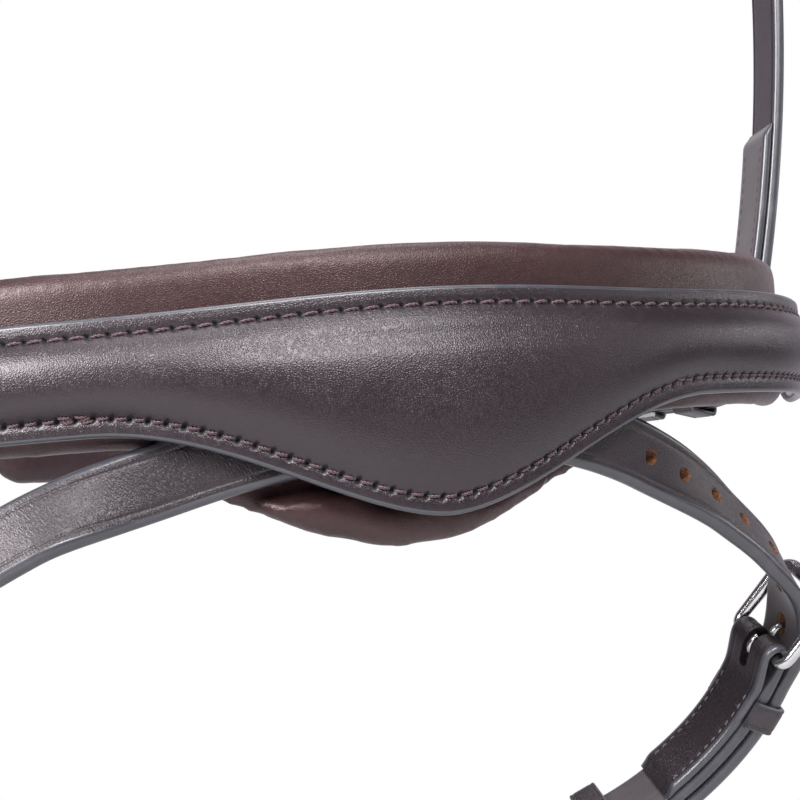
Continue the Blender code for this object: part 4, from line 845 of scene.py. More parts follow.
@dataclass
class Lines:
    """The three lines that everything lies on: the noseband's ring, the flash strap and the headpiece."""

    layers: Layers
    samples: int = 1440
    ring_half_width: float = 0.136
    ring_half_depth: float = 0.090
    ring_front_drop: float = 0.0108
    ring_climb: float = 0.0170
    ring_climb_reach: float = 0.090
    ring_back_climb: float = 0.0065
    ring_back_from: float = 0.070
    ring_lean: float = 0.11
    flash_height: float = -0.0244
    flash_left_reach: float = 0.1235
    flash_right_reach: float = 0.0933
    flash_half_depth: float = 0.0641
    flash_tilt: float = 52.0
    flash_left_twist: tuple[tuple[float, float], ...] = ((0.0, 42.0), (20.0, 42.0), (46.0, 29.0), (69.0, 4.0),
                                                         (90.0, 0.0), (120.0, 8.0), (180.0, 2.0))
    flash_right_twist: tuple[tuple[float, float], ...] = ((0.0, 18.0), (20.0, 18.0), (46.0, 21.0), (69.0, 20.0),
                                                          (90.0, -4.0), (120.0, 4.0), (180.0, 2.0))
    flash_hug: float = 0.056
    flash_free: float = 0.088
    hanger_at: float = 0.1725
    hanger_low: float = -0.0095
    hanger_straight: float = 0.0215
    hanger_steps: int = 12
    out_slope: float = 0.30
    forward_slope: float = 0.15
    side_handle: float = 0.215
    poll_handle: float = 0.120
    poll_height: float = 0.470
    poll_setback: float = 0.075
    ring: Line = field(init=False)
    flash: Line = field(init=False)
    slip: Line = field(init=False)

    def __post_init__(self) -> None:
        """Work out the lines, each from the one before it."""
        self.ring = self._ring_line()
        self.flash = self._flash_line()
        self.slip = self._slip_line()

    @property
    def poll(self) -> Vector:
        """Where the crown of the headpiece rests, from which everything hangs."""
        return Vector((0.0, self.poll_setback, self.poll_height - self.layers.strap / 2.0))

    def _ring_line(self) -> Line:
        """Ellipse seen from above, which climbs from the nose to the chin and leans outwards."""
        points, acrosses, outwards, plan = [], [], [], []
        half_width, half_depth, lean = self.ring_half_width, self.ring_half_depth, self.ring_lean
        for index in range(self.samples + 1):
            angle = math.pi * (2.0 * index / self.samples - 1.0)
            depth = half_depth * (1.0 - math.cos(angle))
            flat = Vector((half_width * math.sin(angle), depth, 0.0))
            level = Vector((half_depth * math.sin(angle), -half_width * math.cos(angle), 0.0)).normalized()
            along = Vector((-level.y, level.x, 0.0))
            back = self.ring_back_climb * smooth(depth, self.ring_back_from, 2.0 * half_depth)
            height = self.ring_climb * (1.0 - math.exp(-depth / self.ring_climb_reach)) + back - self.ring_front_drop
            across = Vector((level.x * lean, level.y * lean, 1.0)).normalized()
            plan.append(flat)
            points.append(Vector((flat.x, flat.y, height)) + level * lean * height)
            acrosses.append(across)
            outwards.append(along.cross(across))
        lengths = Line.running(plan)
        middle = lengths[self.samples // 2]
        return Line(points, acrosses, outwards, [length - middle for length in lengths], closed=True)

    def flash_level(self, s: float) -> float:
        """Height across the noseband at which the flash strap passes behind it.

        Args:
            s: Distance round the ring.

        Returns:
            The height.
        """
        point, across, _ = self.ring.read(s)
        reach = self.flash_right_reach if point.x > 0.0 else self.flash_left_reach
        hang = self.flash_half_depth * (1.0 - math.sqrt(max(1.0 - (point.x / reach) ** 2, 0.0)))
        height = self.flash_height - hang * math.sin(math.radians(self.flash_tilt))
        return (height - point.z) / across.z

    def ring_distance(self, x: float) -> float:
        """Distance round the front of the ring to the place with that X."""
        low, high = -self.ring.length / 4.0, self.ring.length / 4.0
        for _ in range(40):
            middle = (low + high) / 2.0
            if self.ring.read(middle)[0].x < x:
                low = middle
            else:
                high = middle
        return (low + high) / 2.0

    def _flash_line(self) -> Line:
        """Loop that hugs the back of the front, then hangs free round the chin."""
        tilt = math.radians(self.flash_tilt)
        plane_up = Vector((0.0, math.sin(tilt), math.cos(tilt)))
        back = Vector((0.0, math.cos(tilt), -math.sin(tilt)))
        start = self.ring.place(0.0, self.flash_level(0.0), self.layers.flash_o)
        points, acrosses = [], []
        for index in range(self.samples + 1):
            angle = math.pi * (2.0 * index / self.samples - 1.0)
            reach = self.flash_right_reach if angle > 0.0 else self.flash_left_reach
            depth = self.flash_half_depth * (1.0 - math.cos(angle))
            hanging = Vector((reach * math.sin(angle), start.y, start.z)) + back * depth
            along = (Vector((reach * math.cos(angle), 0.0, 0.0))
                     + back * self.flash_half_depth * math.sin(angle)).normalized()
            twists = self.flash_right_twist if angle > 0.0 else self.flash_left_twist
            twist = math.radians(eased(abs(math.degrees(angle)), twists))
            across = plane_up * math.cos(twist) + along.cross(plane_up) * math.sin(twist)
            free = smooth(abs(hanging.x), self.flash_hug, self.flash_free)
            if depth < self.flash_half_depth and free < 1.0:
                s = self.ring_distance(hanging.x)
                across = self.ring.read(s)[1].lerp(across, free)
                hanging = self.ring.place(s, self.flash_level(s), self.layers.flash_o).lerp(hanging, free)
            points.append(hanging)
            acrosses.append(across)
        return Line.squared(points, acrosses, closed=True)

    def _slip_line(self) -> Line:
        """Headpiece from the near side of the ring, over the poll, to the off side."""
        _, across, outward = self.ring.read(self.hanger_at)
        forward = outward.cross(across).normalized()
        low = self.ring.place(self.hanger_at, self.hanger_low, self.layers.slip_o)
        foot = self.ring.place(self.hanger_at, self.hanger_low + self.hanger_straight, self.layers.slip_o)
        leave = Vector((self.out_slope, -self.forward_slope, 1.0)).normalized()
        poll = Vector((0.0, self.poll_setback, self.poll_height))
        handle_a = foot + leave * self.side_handle
        handle_b = poll + Vector((self.poll_handle, 0.0, 0.0))
        steps = self.samples // 4
        half = [low.lerp(foot, index / self.hanger_steps) for index in range(self.hanger_steps)]
        for index in range(steps + 1):
            t = index / steps
            u = 1.0 - t
            half.append(foot * u ** 3 + handle_a * 3.0 * u * u * t + handle_b * 3.0 * u * t * t + poll * t ** 3)
        points = half + [Vector((-p.x, p.y, p.z)) for p in reversed(half[:-1])]
        front = Vector((0.0, -1.0, 0.0))
        acrosses = []
        for p in points:
            side = forward if p.x >= 0.0 else Vector((-forward.x, forward.y, forward.z))
            acrosses.append(side.lerp(front, smooth(p.z, low.z, self.poll_height)))
        return Line.squared(points, acrosses, closed=False)


class Bench:
    """Workbench: makes meshes, cuts and bends them, and puts finished pieces on their bodies."""

    def __init__(self, lines: Lines) -> None:
        """Lay out the work around the noseband's lines."""
        self.hang = Matrix.Translation(-lines.poll)

    @staticmethod
    def loft(rings: Sequence[Sequence[Vector]], name: str, closed: bool = False,
             faces: Callable[[int], Face] | None = None) -> bpy.types.Mesh:
        """Body through rings of points.

        Args:
            rings: Rings of as many points each.
            name: The mesh's name.
            closed: Whether the last ring joins the first. Otherwise both ends are capped.
            faces: Which leather shows on the strip after a point of the ring.

        Returns:
            The mesh, with its faces turned out.
        """
        bm = bmesh.new()
        rows = [[bm.verts.new(point) for point in ring] for ring in rings]
        count = len(rings[0])
        pairs = list(zip(rows, rows[1:])) + ([(rows[-1], rows[0])] if closed else [])
        for row_a, row_b in pairs:
            for index in range(count):
                after = (index + 1) % count
                made = bm.faces.new((row_a[index], row_a[after], row_b[after], row_b[index]))
                if faces is not None:
                    made.material_index = faces(index).value
        if not closed:
            for row in (rows[0], rows[-1]):
                cap = bm.faces.new(row)
                cap.material_index = Face.EDGE.value if faces is not None else 0
            bm.normal_update()
        return Bench.outwards(bm, name)

    @staticmethod
    def outwards(bm: bmesh.types.BMesh, name: str) -> bpy.types.Mesh:
        """Mesh of a bmesh, which is freed, with its faces turned out."""
        bmesh.ops.recalc_face_normals(bm, faces=bm.faces)
        if bm.calc_volume(signed=True) < 0.0:
            bmesh.ops.reverse_faces(bm, faces=bm.faces)
        mesh = bpy.data.meshes.new(name)
        bm.to_mesh(mesh)
        bm.free()
        return mesh

    @staticmethod
    def stadium(length: float, width: float, depth: float, centre: Vector, wall: Face = Face.HOLE,
                sides: int = 24) -> bpy.types.Mesh:
        """Cutter for a slot with round ends, or for a round hole when its length is its width.

        Args:
            length: Along X.
            width: Along Y.
            depth: Along Z.
            centre: Its middle.
            wall: Finish of the walls that it leaves.
            sides: Sides of the two round ends together.

        Returns:
            The cutter.
        """
        straight = (length - width) / 2.0
        rings = []
        for z in (-depth / 2.0, depth / 2.0):
            ring = []
            for index in range(sides):
                angle = 2.0 * math.pi * (index + 0.5) / sides
                x = width / 2.0 * math.cos(angle) + math.copysign(straight, math.cos(angle))
                ring.append(centre + Vector((x, width / 2.0 * math.sin(angle), z)))
            rings.append(ring)
        return Bench.loft(rings, "cutter", faces=lambda index: wall)

    @staticmethod
    def dress(mesh: bpy.types.Mesh, materials: Sequence[bpy.types.Material]) -> None:
        """Give a mesh its materials, and leave each face in its slot.

        Args:
            mesh: What is dressed.
            materials: Its materials, in the order of its faces' slots.
        """
        slots = [polygon.material_index for polygon in mesh.polygons]
        mesh.materials.clear()
        for material in materials:
            mesh.materials.append(material)
        mesh.polygons.foreach_set("material_index", slots)

    @staticmethod
    def cut(mesh: bpy.types.Mesh, cutters: Sequence[bpy.types.Mesh]) -> bpy.types.Mesh:
        """Mesh less its cutters, which are used up.

        Args:
            mesh: What is cut.
            cutters: Closed meshes that don't touch each other.

        Returns:
            The cut mesh.
        """
        if not cutters:
            return mesh
        bm = bmesh.new()
        for cutter in cutters:
            bm.from_mesh(cutter)
        joined = bpy.data.meshes.new("cutters")
        bm.to_mesh(joined)
        bm.free()
        blanks = [bpy.data.materials.new(f"blank_{face.name.lower()}") for face in Face]
        for part in (mesh, joined):
            for blank in blanks:
                part.materials.append(blank)
        work = bpy.data.objects.new("work", mesh)
        tool = bpy.data.objects.new("tool", joined)
        for obj in (work, tool):
            bpy.context.scene.collection.objects.link(obj)
        modifier = work.modifiers.new("cut", "BOOLEAN")
        modifier.operation = "DIFFERENCE"
        modifier.solver = "EXACT"
        modifier.object = tool
        graph = bpy.context.evaluated_depsgraph_get()
        result = bpy.data.meshes.new_from_object(work.evaluated_get(graph))
        for obj in (work, tool):
            bpy.data.objects.remove(obj)
        Bench.dress(result, [])
        for blank in blanks:
            bpy.data.materials.remove(blank)
        return result

    @staticmethod
    def note_cut_place(mesh: bpy.types.Mesh, places: Iterable[Vector]) -> None:
        """Keep each vertex's place on the flat leather, for the grain."""
        attribute = mesh.attributes.new(CUT_ATTRIBUTE, "FLOAT_VECTOR", "POINT")
        flat = np.array([tuple(place) for place in places], np.float32)
        attribute.data.foreach_set("vector", flat.ravel())

    def bend(self, mesh: bpy.types.Mesh, line: Line, offset: Height, width: Height) -> bpy.types.Mesh:
        """Lay a flat piece on its line.

        Args:
            mesh: The flat piece, with s, v and o as its coordinates. It is changed.
            line: What it is laid on.
            offset: How far out its middle lies at a distance.
            width: Share of its width that is left at a distance.

        Returns:
            The same mesh.
        """
        flat = [vert.co.copy() for vert in mesh.vertices]
        self.note_cut_place(mesh, flat)
        for vert, (s, v, o) in zip(mesh.vertices, flat):
            vert.co = line.place(s, v * width(s), o + offset(s))
        return mesh

    def piece(self, name: str, mesh: bpy.types.Mesh, materials: Sequence[bpy.types.Material], body: str,
              slot: Slot | None = None, replaced: Sequence[str] = (), place: Matrix | None = None) -> bpy.types.Object:
        """Finished piece on its body.

        Args:
            name: The piece's name.
            mesh: Its mesh, about the middle of the front or in the axes of place.
            materials: Its materials, in the order of its faces' slots.
            body: The body that it rides on.
            slot: The record's slot of its finish. Not used.
            replaced: Parts that it stands for.
            place: Axes that its mesh is drawn in.

        Returns:
            The object.
        """
        mesh.name = name
        mesh.transform(self.hang @ (place or Matrix.Identity(4)))
        Bench.dress(mesh, materials)
        mesh.shade_smooth()
        mesh.set_sharp_from_angle(angle=math.radians(48.0))
        obj = bpy.data.objects.new(name, mesh)
        bpy.context.scene.collection.objects.link(obj)
        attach(obj, body)
        if replaced:
            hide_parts(*replaced)
        LOG.info("%s on %s: %d faces", name, body, len(mesh.polygons))
        return obj


@dataclass(frozen=True)
class Seam:
    """Row of stitches on a surface.

    surface gives a point for s and v, and track gives s and v for a distance along the row.
    """

    surface: Callable[[float, float], Vector]
    track: Callable[[float], tuple[float, float]]
    start: float
    end: float
    pitch: float = 0.0042
    sewn_over: tuple[tuple[float, float], ...] = ()

    def holes(self) -> list[tuple[float, float]]:
        """Places of the awl holes, a pitch apart on the surface."""
        steps = max(int((self.end - self.start) / (self.pitch / 12.0)), 2)
        tracks = [self.track(self.start + (self.end - self.start) * index / steps) for index in range(steps + 1)]
        lengths = Line.running([self.surface(s, v) for s, v in tracks])
        count = max(round(lengths[-1] / self.pitch), 1)
        found = []
        for index in range(count + 1):
            target = lengths[-1] * index / count
            at = min(max(bisect_right(lengths, target) - 1, 0), steps - 1)
            share = (target - lengths[at]) / max(lengths[at + 1] - lengths[at], 1e-9)
            (s_a, v_a), (s_b, v_b) = tracks[at], tracks[at + 1]
            found.append((s_a + (s_b - s_a) * share, v_a + (v_b - v_a) * share))
        return found

    def normal(self, s: float, v: float) -> Vector:
        """Outward direction of the surface."""
        near = 0.0004
        along = self.surface(s + near, v) - self.surface(s - near, v)
        across = self.surface(s, v + near) - self.surface(s, v - near)
        return along.cross(across).normalized()


@dataclass(frozen=True)
class Needle:
    """How the thread lies: two twisted plies, slanted from hole to hole."""

    radius: float = 0.00039
    rise: float = 0.00026
    slant: float = 0.00012
    trim: float = 0.00046
    sides: int = 8
    steps: int = 14
    twist_turns: float = 1.7
    sink: float = 0.00060
    over_spread: float = 0.00055

    def stitch(self, bm: bmesh.types.BMesh, start: Vector, end: Vector, up: Vector, slant: float, size: float) -> None:
        """Add one stitch.

        Args:
            bm: Where it is added.
            start: Its first hole.
            end: Its last hole.
            up: Outward direction of the leather.
            slant: Sideways lean between the holes.
            size: Its thickness against an even one.
        """
        along = (end - start).normalized()
        side = up.cross(along).normalized()
        first = start + along * self.trim - side * slant
        last = end - along * self.trim + side * slant
        for phase in (0.0, math.pi):
            rows = []
            for step in range(self.steps + 1):
                t = step / self.steps
                bow = math.sin(math.pi * t) ** 0.45
                turn = phase + 2.0 * math.pi * self.twist_turns * t
                girth = self.radius * size * (0.70 + 0.30 * bow)
                off = (side * math.cos(turn) + up * math.sin(turn) * 0.8) * girth * 0.46
                centre = first.lerp(last, t) + up * (self.rise * bow * size - self.sink * (1.0 - bow)) + off
                row = []
                for index in range(self.sides):
                    angle = 2.0 * math.pi * index / self.sides
                    row.append(bm.verts.new(centre + (side * math.cos(angle) + up * math.sin(angle)) * girth * 0.60))
                rows.append(row)
            for row_a, row_b in zip(rows, rows[1:]):
                for index in range(self.sides):
                    after = (index + 1) % self.sides
                    bm.faces.new((row_a[index], row_a[after], row_b[after], row_b[index]))
            bm.faces.new(list(reversed(rows[0])))
            bm.faces.new(rows[-1])

    def sew(self, seams: Sequence[Seam], name: str, seed: int) -> bpy.types.Mesh:
        """All stitches of some rows, as one mesh.

        Args:
            seams: The rows.
            name: The mesh's name.
            seed: Seed of the hand's small unevenness.

        Returns:
            The mesh.
        """
        hand = random.Random(seed)
        bm = bmesh.new()
        for seam in seams:
            holes = seam.holes()
            for (s_a, v_a), (s_b, v_b) in zip(holes, holes[1:]):
                middle = (s_a + s_b) / 2.0
                up = seam.normal(middle, (v_a + v_b) / 2.0)
                slant = self.slant * hand.uniform(0.75, 1.2)
                size = hand.uniform(0.92, 1.07)
                self.stitch(bm, seam.surface(s_a, v_a), seam.surface(s_b, v_b), up, slant, size)
                if any(low <= middle <= high for low, high in seam.sewn_over):
                    for side in (-1.0, 1.0):
                        shift = side * self.over_spread * hand.uniform(0.8, 1.2)
                        lean = hand.uniform(-0.0006, 0.0006)
                        self.stitch(bm, seam.surface(s_a + lean, v_a + shift), seam.surface(s_b + lean, v_b + shift),
                                    up, -slant * side, size * 0.86)
        return Bench.outwards(bm, name)


@dataclass
class FrontPiece:
    """The raised front: its outer leather, two seams, the filler and the backing."""

    bench: Bench
    finishes: Finishes
    lines: Lines
    layers: Layers
    pattern: FrontPattern
    half_length: float = 0.172
    end_round: float = 0.012
    end_narrow: float = 0.45
    end_power: float = 2.5
    step: float = 0.00048
    edge_round: float = 0.0009
    hole_reach: float = 0.00054
    hole_depth: float = 0.00095
    groove_depth: float = 0.00009
    groove_reach: float = 0.00095
    valley_depth: float = 0.00048
    valley_at: float = 0.0070
    valley_reach: float = 0.0019
    sewn_over: tuple[tuple[float, float], ...] = ((-0.0805, -0.0735), (0.0640, 0.0680))
    top_pitch: float = 0.00447
    low_pitch: float = 0.00378
    seam_end: float = 0.1665
    backing_half_length: float = 0.150
    backing_inset: float = 0.0008
    seams: list[Seam] = field(init=False)

    def __post_init__(self) -> None:
        """Set out the two seams and their holes."""
        pattern = self.pattern
        rows = ((pattern.top_seam, self.top_pitch, ()), (pattern.low_seam, self.low_pitch, self.sewn_over))
        self.seams = [Seam(self.leather_surface, lambda s, height=height: (s, height(s)), -self.seam_end,
                           self.seam_end, pitch, again) for height, pitch, again in rows]
        self.hole_rows = [seam.holes() for seam in self.seams]

    def end_factor(self, s: float) -> float:
        """Share of the front's width that is left near its ends."""
        past = (abs(s) - self.half_length + self.end_round) / self.end_round
        return 1.0 if past <= 0.0 else 1.0 - self.end_narrow * min(past, 1.0) ** self.end_power

    def leather_surface(self, s: float, v: float) -> Vector:
        """Even outer face of the leather, without holes or grooves."""
        return self.lines.ring.place(s, v, self.pattern.crown(s, v))

    def hole_at(self, row: int, s: float, v: float) -> float:
        """How much of an awl hole there is at a place.

        Args:
            row: 0 on the upper seam and 1 on the lower.
            s: Distance along the front.
            v: Height.

        Returns:
            A share from 0 to 1.
        """
        holes = self.hole_rows[row]
        index = bisect_right(holes, (s, v))
        best = 0.0
        for near in holes[max(index - 2, 0):index + 2]:
            along, across = s - near[0], v - near[1]
            lean = 0.62
            long = along * lean + across * math.sqrt(1.0 - lean * lean) * (-1.0 if row == 0 else 1.0)
            short = along * math.sqrt(1.0 - lean * lean) + across * lean * (1.0 if row == 0 else -1.0)
            distance = (long / (self.hole_reach * 1.35)) ** 2 + (short / (self.hole_reach * 0.80)) ** 2
            best = max(best, math.exp(-distance))
        return best

    def relief(self, s: float, v: float) -> tuple[float, float]:
        """Relief of the leather's outer face and how deep it lies in a hole.

        Args:
            s: Distance along the front.
            v: Height.

        Returns:
            The offset from the seams' plane, and a share from 0 to 1.
        """
        high, low = self.pattern.top_seam(s), self.pattern.low_seam(s)
        offset = self.pattern.crown(s, v)
        deepest = 0.0
        for row, seam in enumerate((high, low)):
            away = v - seam
            if abs(away) < 3.0 * self.groove_reach and abs(s) < self.seam_end + self.groove_reach:
                offset -= self.groove_depth * math.exp(-(away / self.groove_reach) ** 2)
                hole = self.hole_at(row, s, v)
                offset -= self.hole_depth * hole
                deepest = max(deepest, hole)
        margin = max(v - high, low - v)
        if margin > 0.0:
            crease = self.pattern.margin - 0.0012
            offset -= 0.00006 * math.exp(-((margin - crease) / 0.00025) ** 2)
            offset += 0.00010 * math.sin(math.pi * min(margin / crease, 1.0))
        under_seam = (high - v - self.valley_at) / self.valley_reach
        offset -= self.valley_depth * self.pattern.drop(s) * math.exp(-under_seam ** 2)
        swell = noise.noise(Vector((s * 45.0, v * 60.0, 3.0))) * 0.00016
        return offset + swell * smooth(-margin, 0.0, 0.006), deepest

    def outer_rows(self, s: float) -> list[float]:
        """Heights at which the outer face is drawn, from the lower edge to the upper."""
        high, low = self.pattern.top_seam(s), self.pattern.low_seam(s)
        margin = self.pattern.margin - self.edge_round
        near = (-0.0016, -0.0011, -0.0007, -0.0004, -0.00015, 0.00015, 0.0004, 0.0007, 0.0011, 0.0016)
        rows = [low - margin, low - margin + 0.0006, low - margin + 0.0011]
        rows += [low + offset for offset in near]
        inner = 26
        rows += [low + 0.0016 + (high - low - 0.0032) * index / (inner + 1) for index in range(1, inner + 1)]
        rows += [high + offset for offset in near]
        rows += [high + margin - 0.0011, high + margin - 0.0006, high + margin]
        return rows

    def leather(self) -> bpy.types.Object:
        """Outer leather, with the holes of both seams pressed in."""
        rounds = (60.0, 30.0, 0.0, -30.0, -60.0)
        thick = self.layers.front
        columns = round(2.0 * self.half_length / self.step)
        rings, flats, holes = [], [], []
        for column in range(columns + 1):
            s = -self.half_length + 2.0 * self.half_length * column / columns
            base, across, outward = self.lines.ring.read(s)
            high, low = self.pattern.top_seam(s), self.pattern.low_seam(s)
            middle, factor = (high + low) / 2.0, self.end_factor(s)
            to_end = min((self.half_length - abs(s)) / self.edge_round, 1.0)
            fullness = max(math.sqrt(max(1.0 - (1.0 - to_end) ** 2, 0.0)), 0.12)
            section = []
            for v in self.outer_rows(s):
                offset, hole = self.relief(s, v)
                section.append((v, offset, hole))
            edge = self.pattern.margin - self.edge_round
            for angle in rounds:
                turn = math.radians(angle)
                section.append((high + edge + self.edge_round * math.cos(turn), thick / 2.0 * (math.sin(turn) - 1.0), 0.0))
            for index in range(9):
                v = high + edge + (low - high - 2.0 * edge) * index / 8.0
                section.append((v, self.pattern.crown(s, v) - thick, 0.0))
            for angle in reversed(rounds):
                turn = math.radians(angle)
                section.append((low - edge - self.edge_round * math.cos(turn), thick / 2.0 * (math.sin(turn) - 1.0), 0.0))
            ring = []
            for v, offset, hole in section:
                centred = (offset + thick / 2.0) * fullness - thick / 2.0
                ring.append(base + across * (middle + (v - middle) * factor) + outward * centred * factor)
                flats.append(Vector((s, v, offset)))
                holes.append(hole)
            rings.append(ring)
        outer = len(self.outer_rows(0.0))
        inner_start = outer + len(rounds)

        def face(index: int) -> Face:
            edge_a = outer - 1 <= index < inner_start
            edge_b = index >= inner_start + 8
            return Face.EDGE if edge_a or edge_b else Face.GRAIN

        mesh = Bench.loft(rings, "front_leather_cover", faces=face)
        Bench.note_cut_place(mesh, flats)
        # This hole share also paints the holes near black in the leather's material, as painted shade
        attribute = mesh.attributes.new(HOLE_ATTRIBUTE, "FLOAT", "POINT")
        attribute.data.foreach_set("value", np.array(holes, np.float32))
        return self.bench.piece("front_leather_cover", mesh, self.finishes.front_faces, "straps", Slot.FRONT,
                                ["front_leather"])

    def backing(self) -> bpy.types.Object:
        """Flat leather behind the filler, whose painted edge shows below the front's."""
        thick = self.layers.backing
        columns = 240
        rings, flats = [], []
        for column in range(columns + 1):
            s = self.backing_half_length * (2.0 * column / columns - 1.0)
            base, across, outward = self.lines.ring.read(s)
            high = self.pattern.top_seam(s) + self.pattern.margin - self.backing_inset - thick / 2.0
            low = self.pattern.low_seam(s) - self.pattern.margin + self.backing_inset + thick / 2.0
            section = [(low + (high - low) * index / 10.0, 0.0) for index in range(11)]
            for angle in (60.0, 30.0, 0.0, -30.0, -60.0):
                turn = math.radians(angle)
                section.append((high + thick / 2.0 * math.cos(turn), thick / 2.0 * (math.sin(turn) - 1.0)))
            section += [(high + (low - high) * index / 10.0, -thick) for index in range(11)]
            for angle in (-60.0, -30.0, 0.0, 30.0, 60.0):
                turn = math.radians(angle)
                section.append((low - thick / 2.0 * math.cos(turn), thick / 2.0 * (math.sin(turn) - 1.0)))
            rings.append([base + across * v + outward * (self.layers.backing_o + o) for v, o in section])
            flats += [Vector((s, v, o)) for v, o in section]
        edges = set(range(10, 16)) | set(range(26, 32))
        mesh = Bench.loft(rings, "front_backing_leather",
                          faces=lambda index: Face.EDGE if index in edges else Face.GRAIN)
        Bench.note_cut_place(mesh, flats)
        return self.bench.piece("front_backing_leather", mesh, self.finishes.front_faces, "straps", Slot.FRONT,
                                ["front_backing"])

    def threads(self) -> bpy.types.Object:
        """Both rows of stitches, with the ends sewn back over the last ones."""
        needle = Needle()
        mesh = needle.sew(self.seams, "front_thread", seed=11)
        return self.bench.piece("front_thread", mesh, [self.finishes.seam_thread], "straps")

    def make(self) -> None:
        """Build the front and dress the filler inside it."""
        self.leather()
        self.backing()
        self.threads()
        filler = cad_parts["raised_filler"]
        filler.data.materials.clear()
        filler.data.materials.append(self.finishes.felt)


@dataclass
class Padding:
    """Cover of a foam: its section is drawn, filled out by a cloth simulation and creased."""

    bench: Bench
    finishes: Finishes
    lines: Lines
    layers: Layers
    pattern: FrontPattern
    voxel: float = 0.0019
    pressure: float = 4.0
    cap: float = 0.0007
    frames: int = 20
    crease_depth: float = 0.00016

    def fill(self, obj: bpy.types.Object, pinned: Callable[[Vector], float]) -> None:
        """Fill a cover out with cloth, with a limit on how far each point may go.

        Args:
            obj: The cover, about the middle of the front. Its mesh is replaced.
            pinned: How firmly a point is held, from 0 to 1.
        """
        modifier = obj.modifiers.new("remesh", "REMESH")
        modifier.mode = "VOXEL"
        modifier.voxel_size = self.voxel
        graph = bpy.context.evaluated_depsgraph_get()
        obj.data = bpy.data.meshes.new_from_object(obj.evaluated_get(graph))
        obj.modifiers.clear()
        rest = [vert.co.copy() for vert in obj.data.vertices]
        group = obj.vertex_groups.new(name="sewn")
        for index, point in enumerate(rest):
            group.add([index], pinned(point), "REPLACE")
        cloth = obj.modifiers.new("cloth", "CLOTH")
        cloth.settings.vertex_group_mass = group.name
        cloth.settings.use_pressure = True
        cloth.settings.uniform_pressure_force = self.pressure
        cloth.settings.effector_weights.gravity = 0.0
        cloth.settings.quality = 4
        cloth.point_cache.frame_start = 1
        cloth.point_cache.frame_end = self.frames
        scene = bpy.context.scene
        for number in range(1, self.frames + 1):
            scene.frame_set(number)
        graph = bpy.context.evaluated_depsgraph_get()
        filled = bpy.data.meshes.new_from_object(obj.evaluated_get(graph))
        scene.frame_set(1)
        obj.modifiers.clear()
        for vert, before, after in zip(obj.data.vertices, rest, filled.vertices):
            move = after.co - before
            vert.co = before + (move if move.length <= self.cap else move.normalized() * self.cap)
        bpy.data.meshes.remove(filled)
        modifier = obj.modifiers.new("round", "SUBSURF")
        modifier.levels = modifier.render_levels = 1
        graph = bpy.context.evaluated_depsgraph_get()
        obj.data = bpy.data.meshes.new_from_object(obj.evaluated_get(graph))
        obj.modifiers.clear()

    def crease(self, mesh: bpy.types.Mesh, where: Callable[[Vector], float]) -> None:
        """Work soft wrinkles into a cover.

        Args:
            mesh: The cover's mesh. It is changed.
            where: How much a point creases, from 0 to 1.
        """
        normals = [vert.normal.copy() for vert in mesh.vertices]
        for vert, normal in zip(mesh.vertices, normals):
            amount = where(vert.co)
            if amount <= 0.0:
                continue
            place = vert.co
            wide = noise.noise(Vector((place.x * 60.0, place.y * 60.0, place.z * 90.0)))
            fine = noise.noise(Vector((place.x * 300.0 + 9.0, place.y * 300.0, place.z * 260.0)))
            depth = wide * 0.8 + fine * 0.20
            vert.co += normal * self.crease_depth * amount * depth


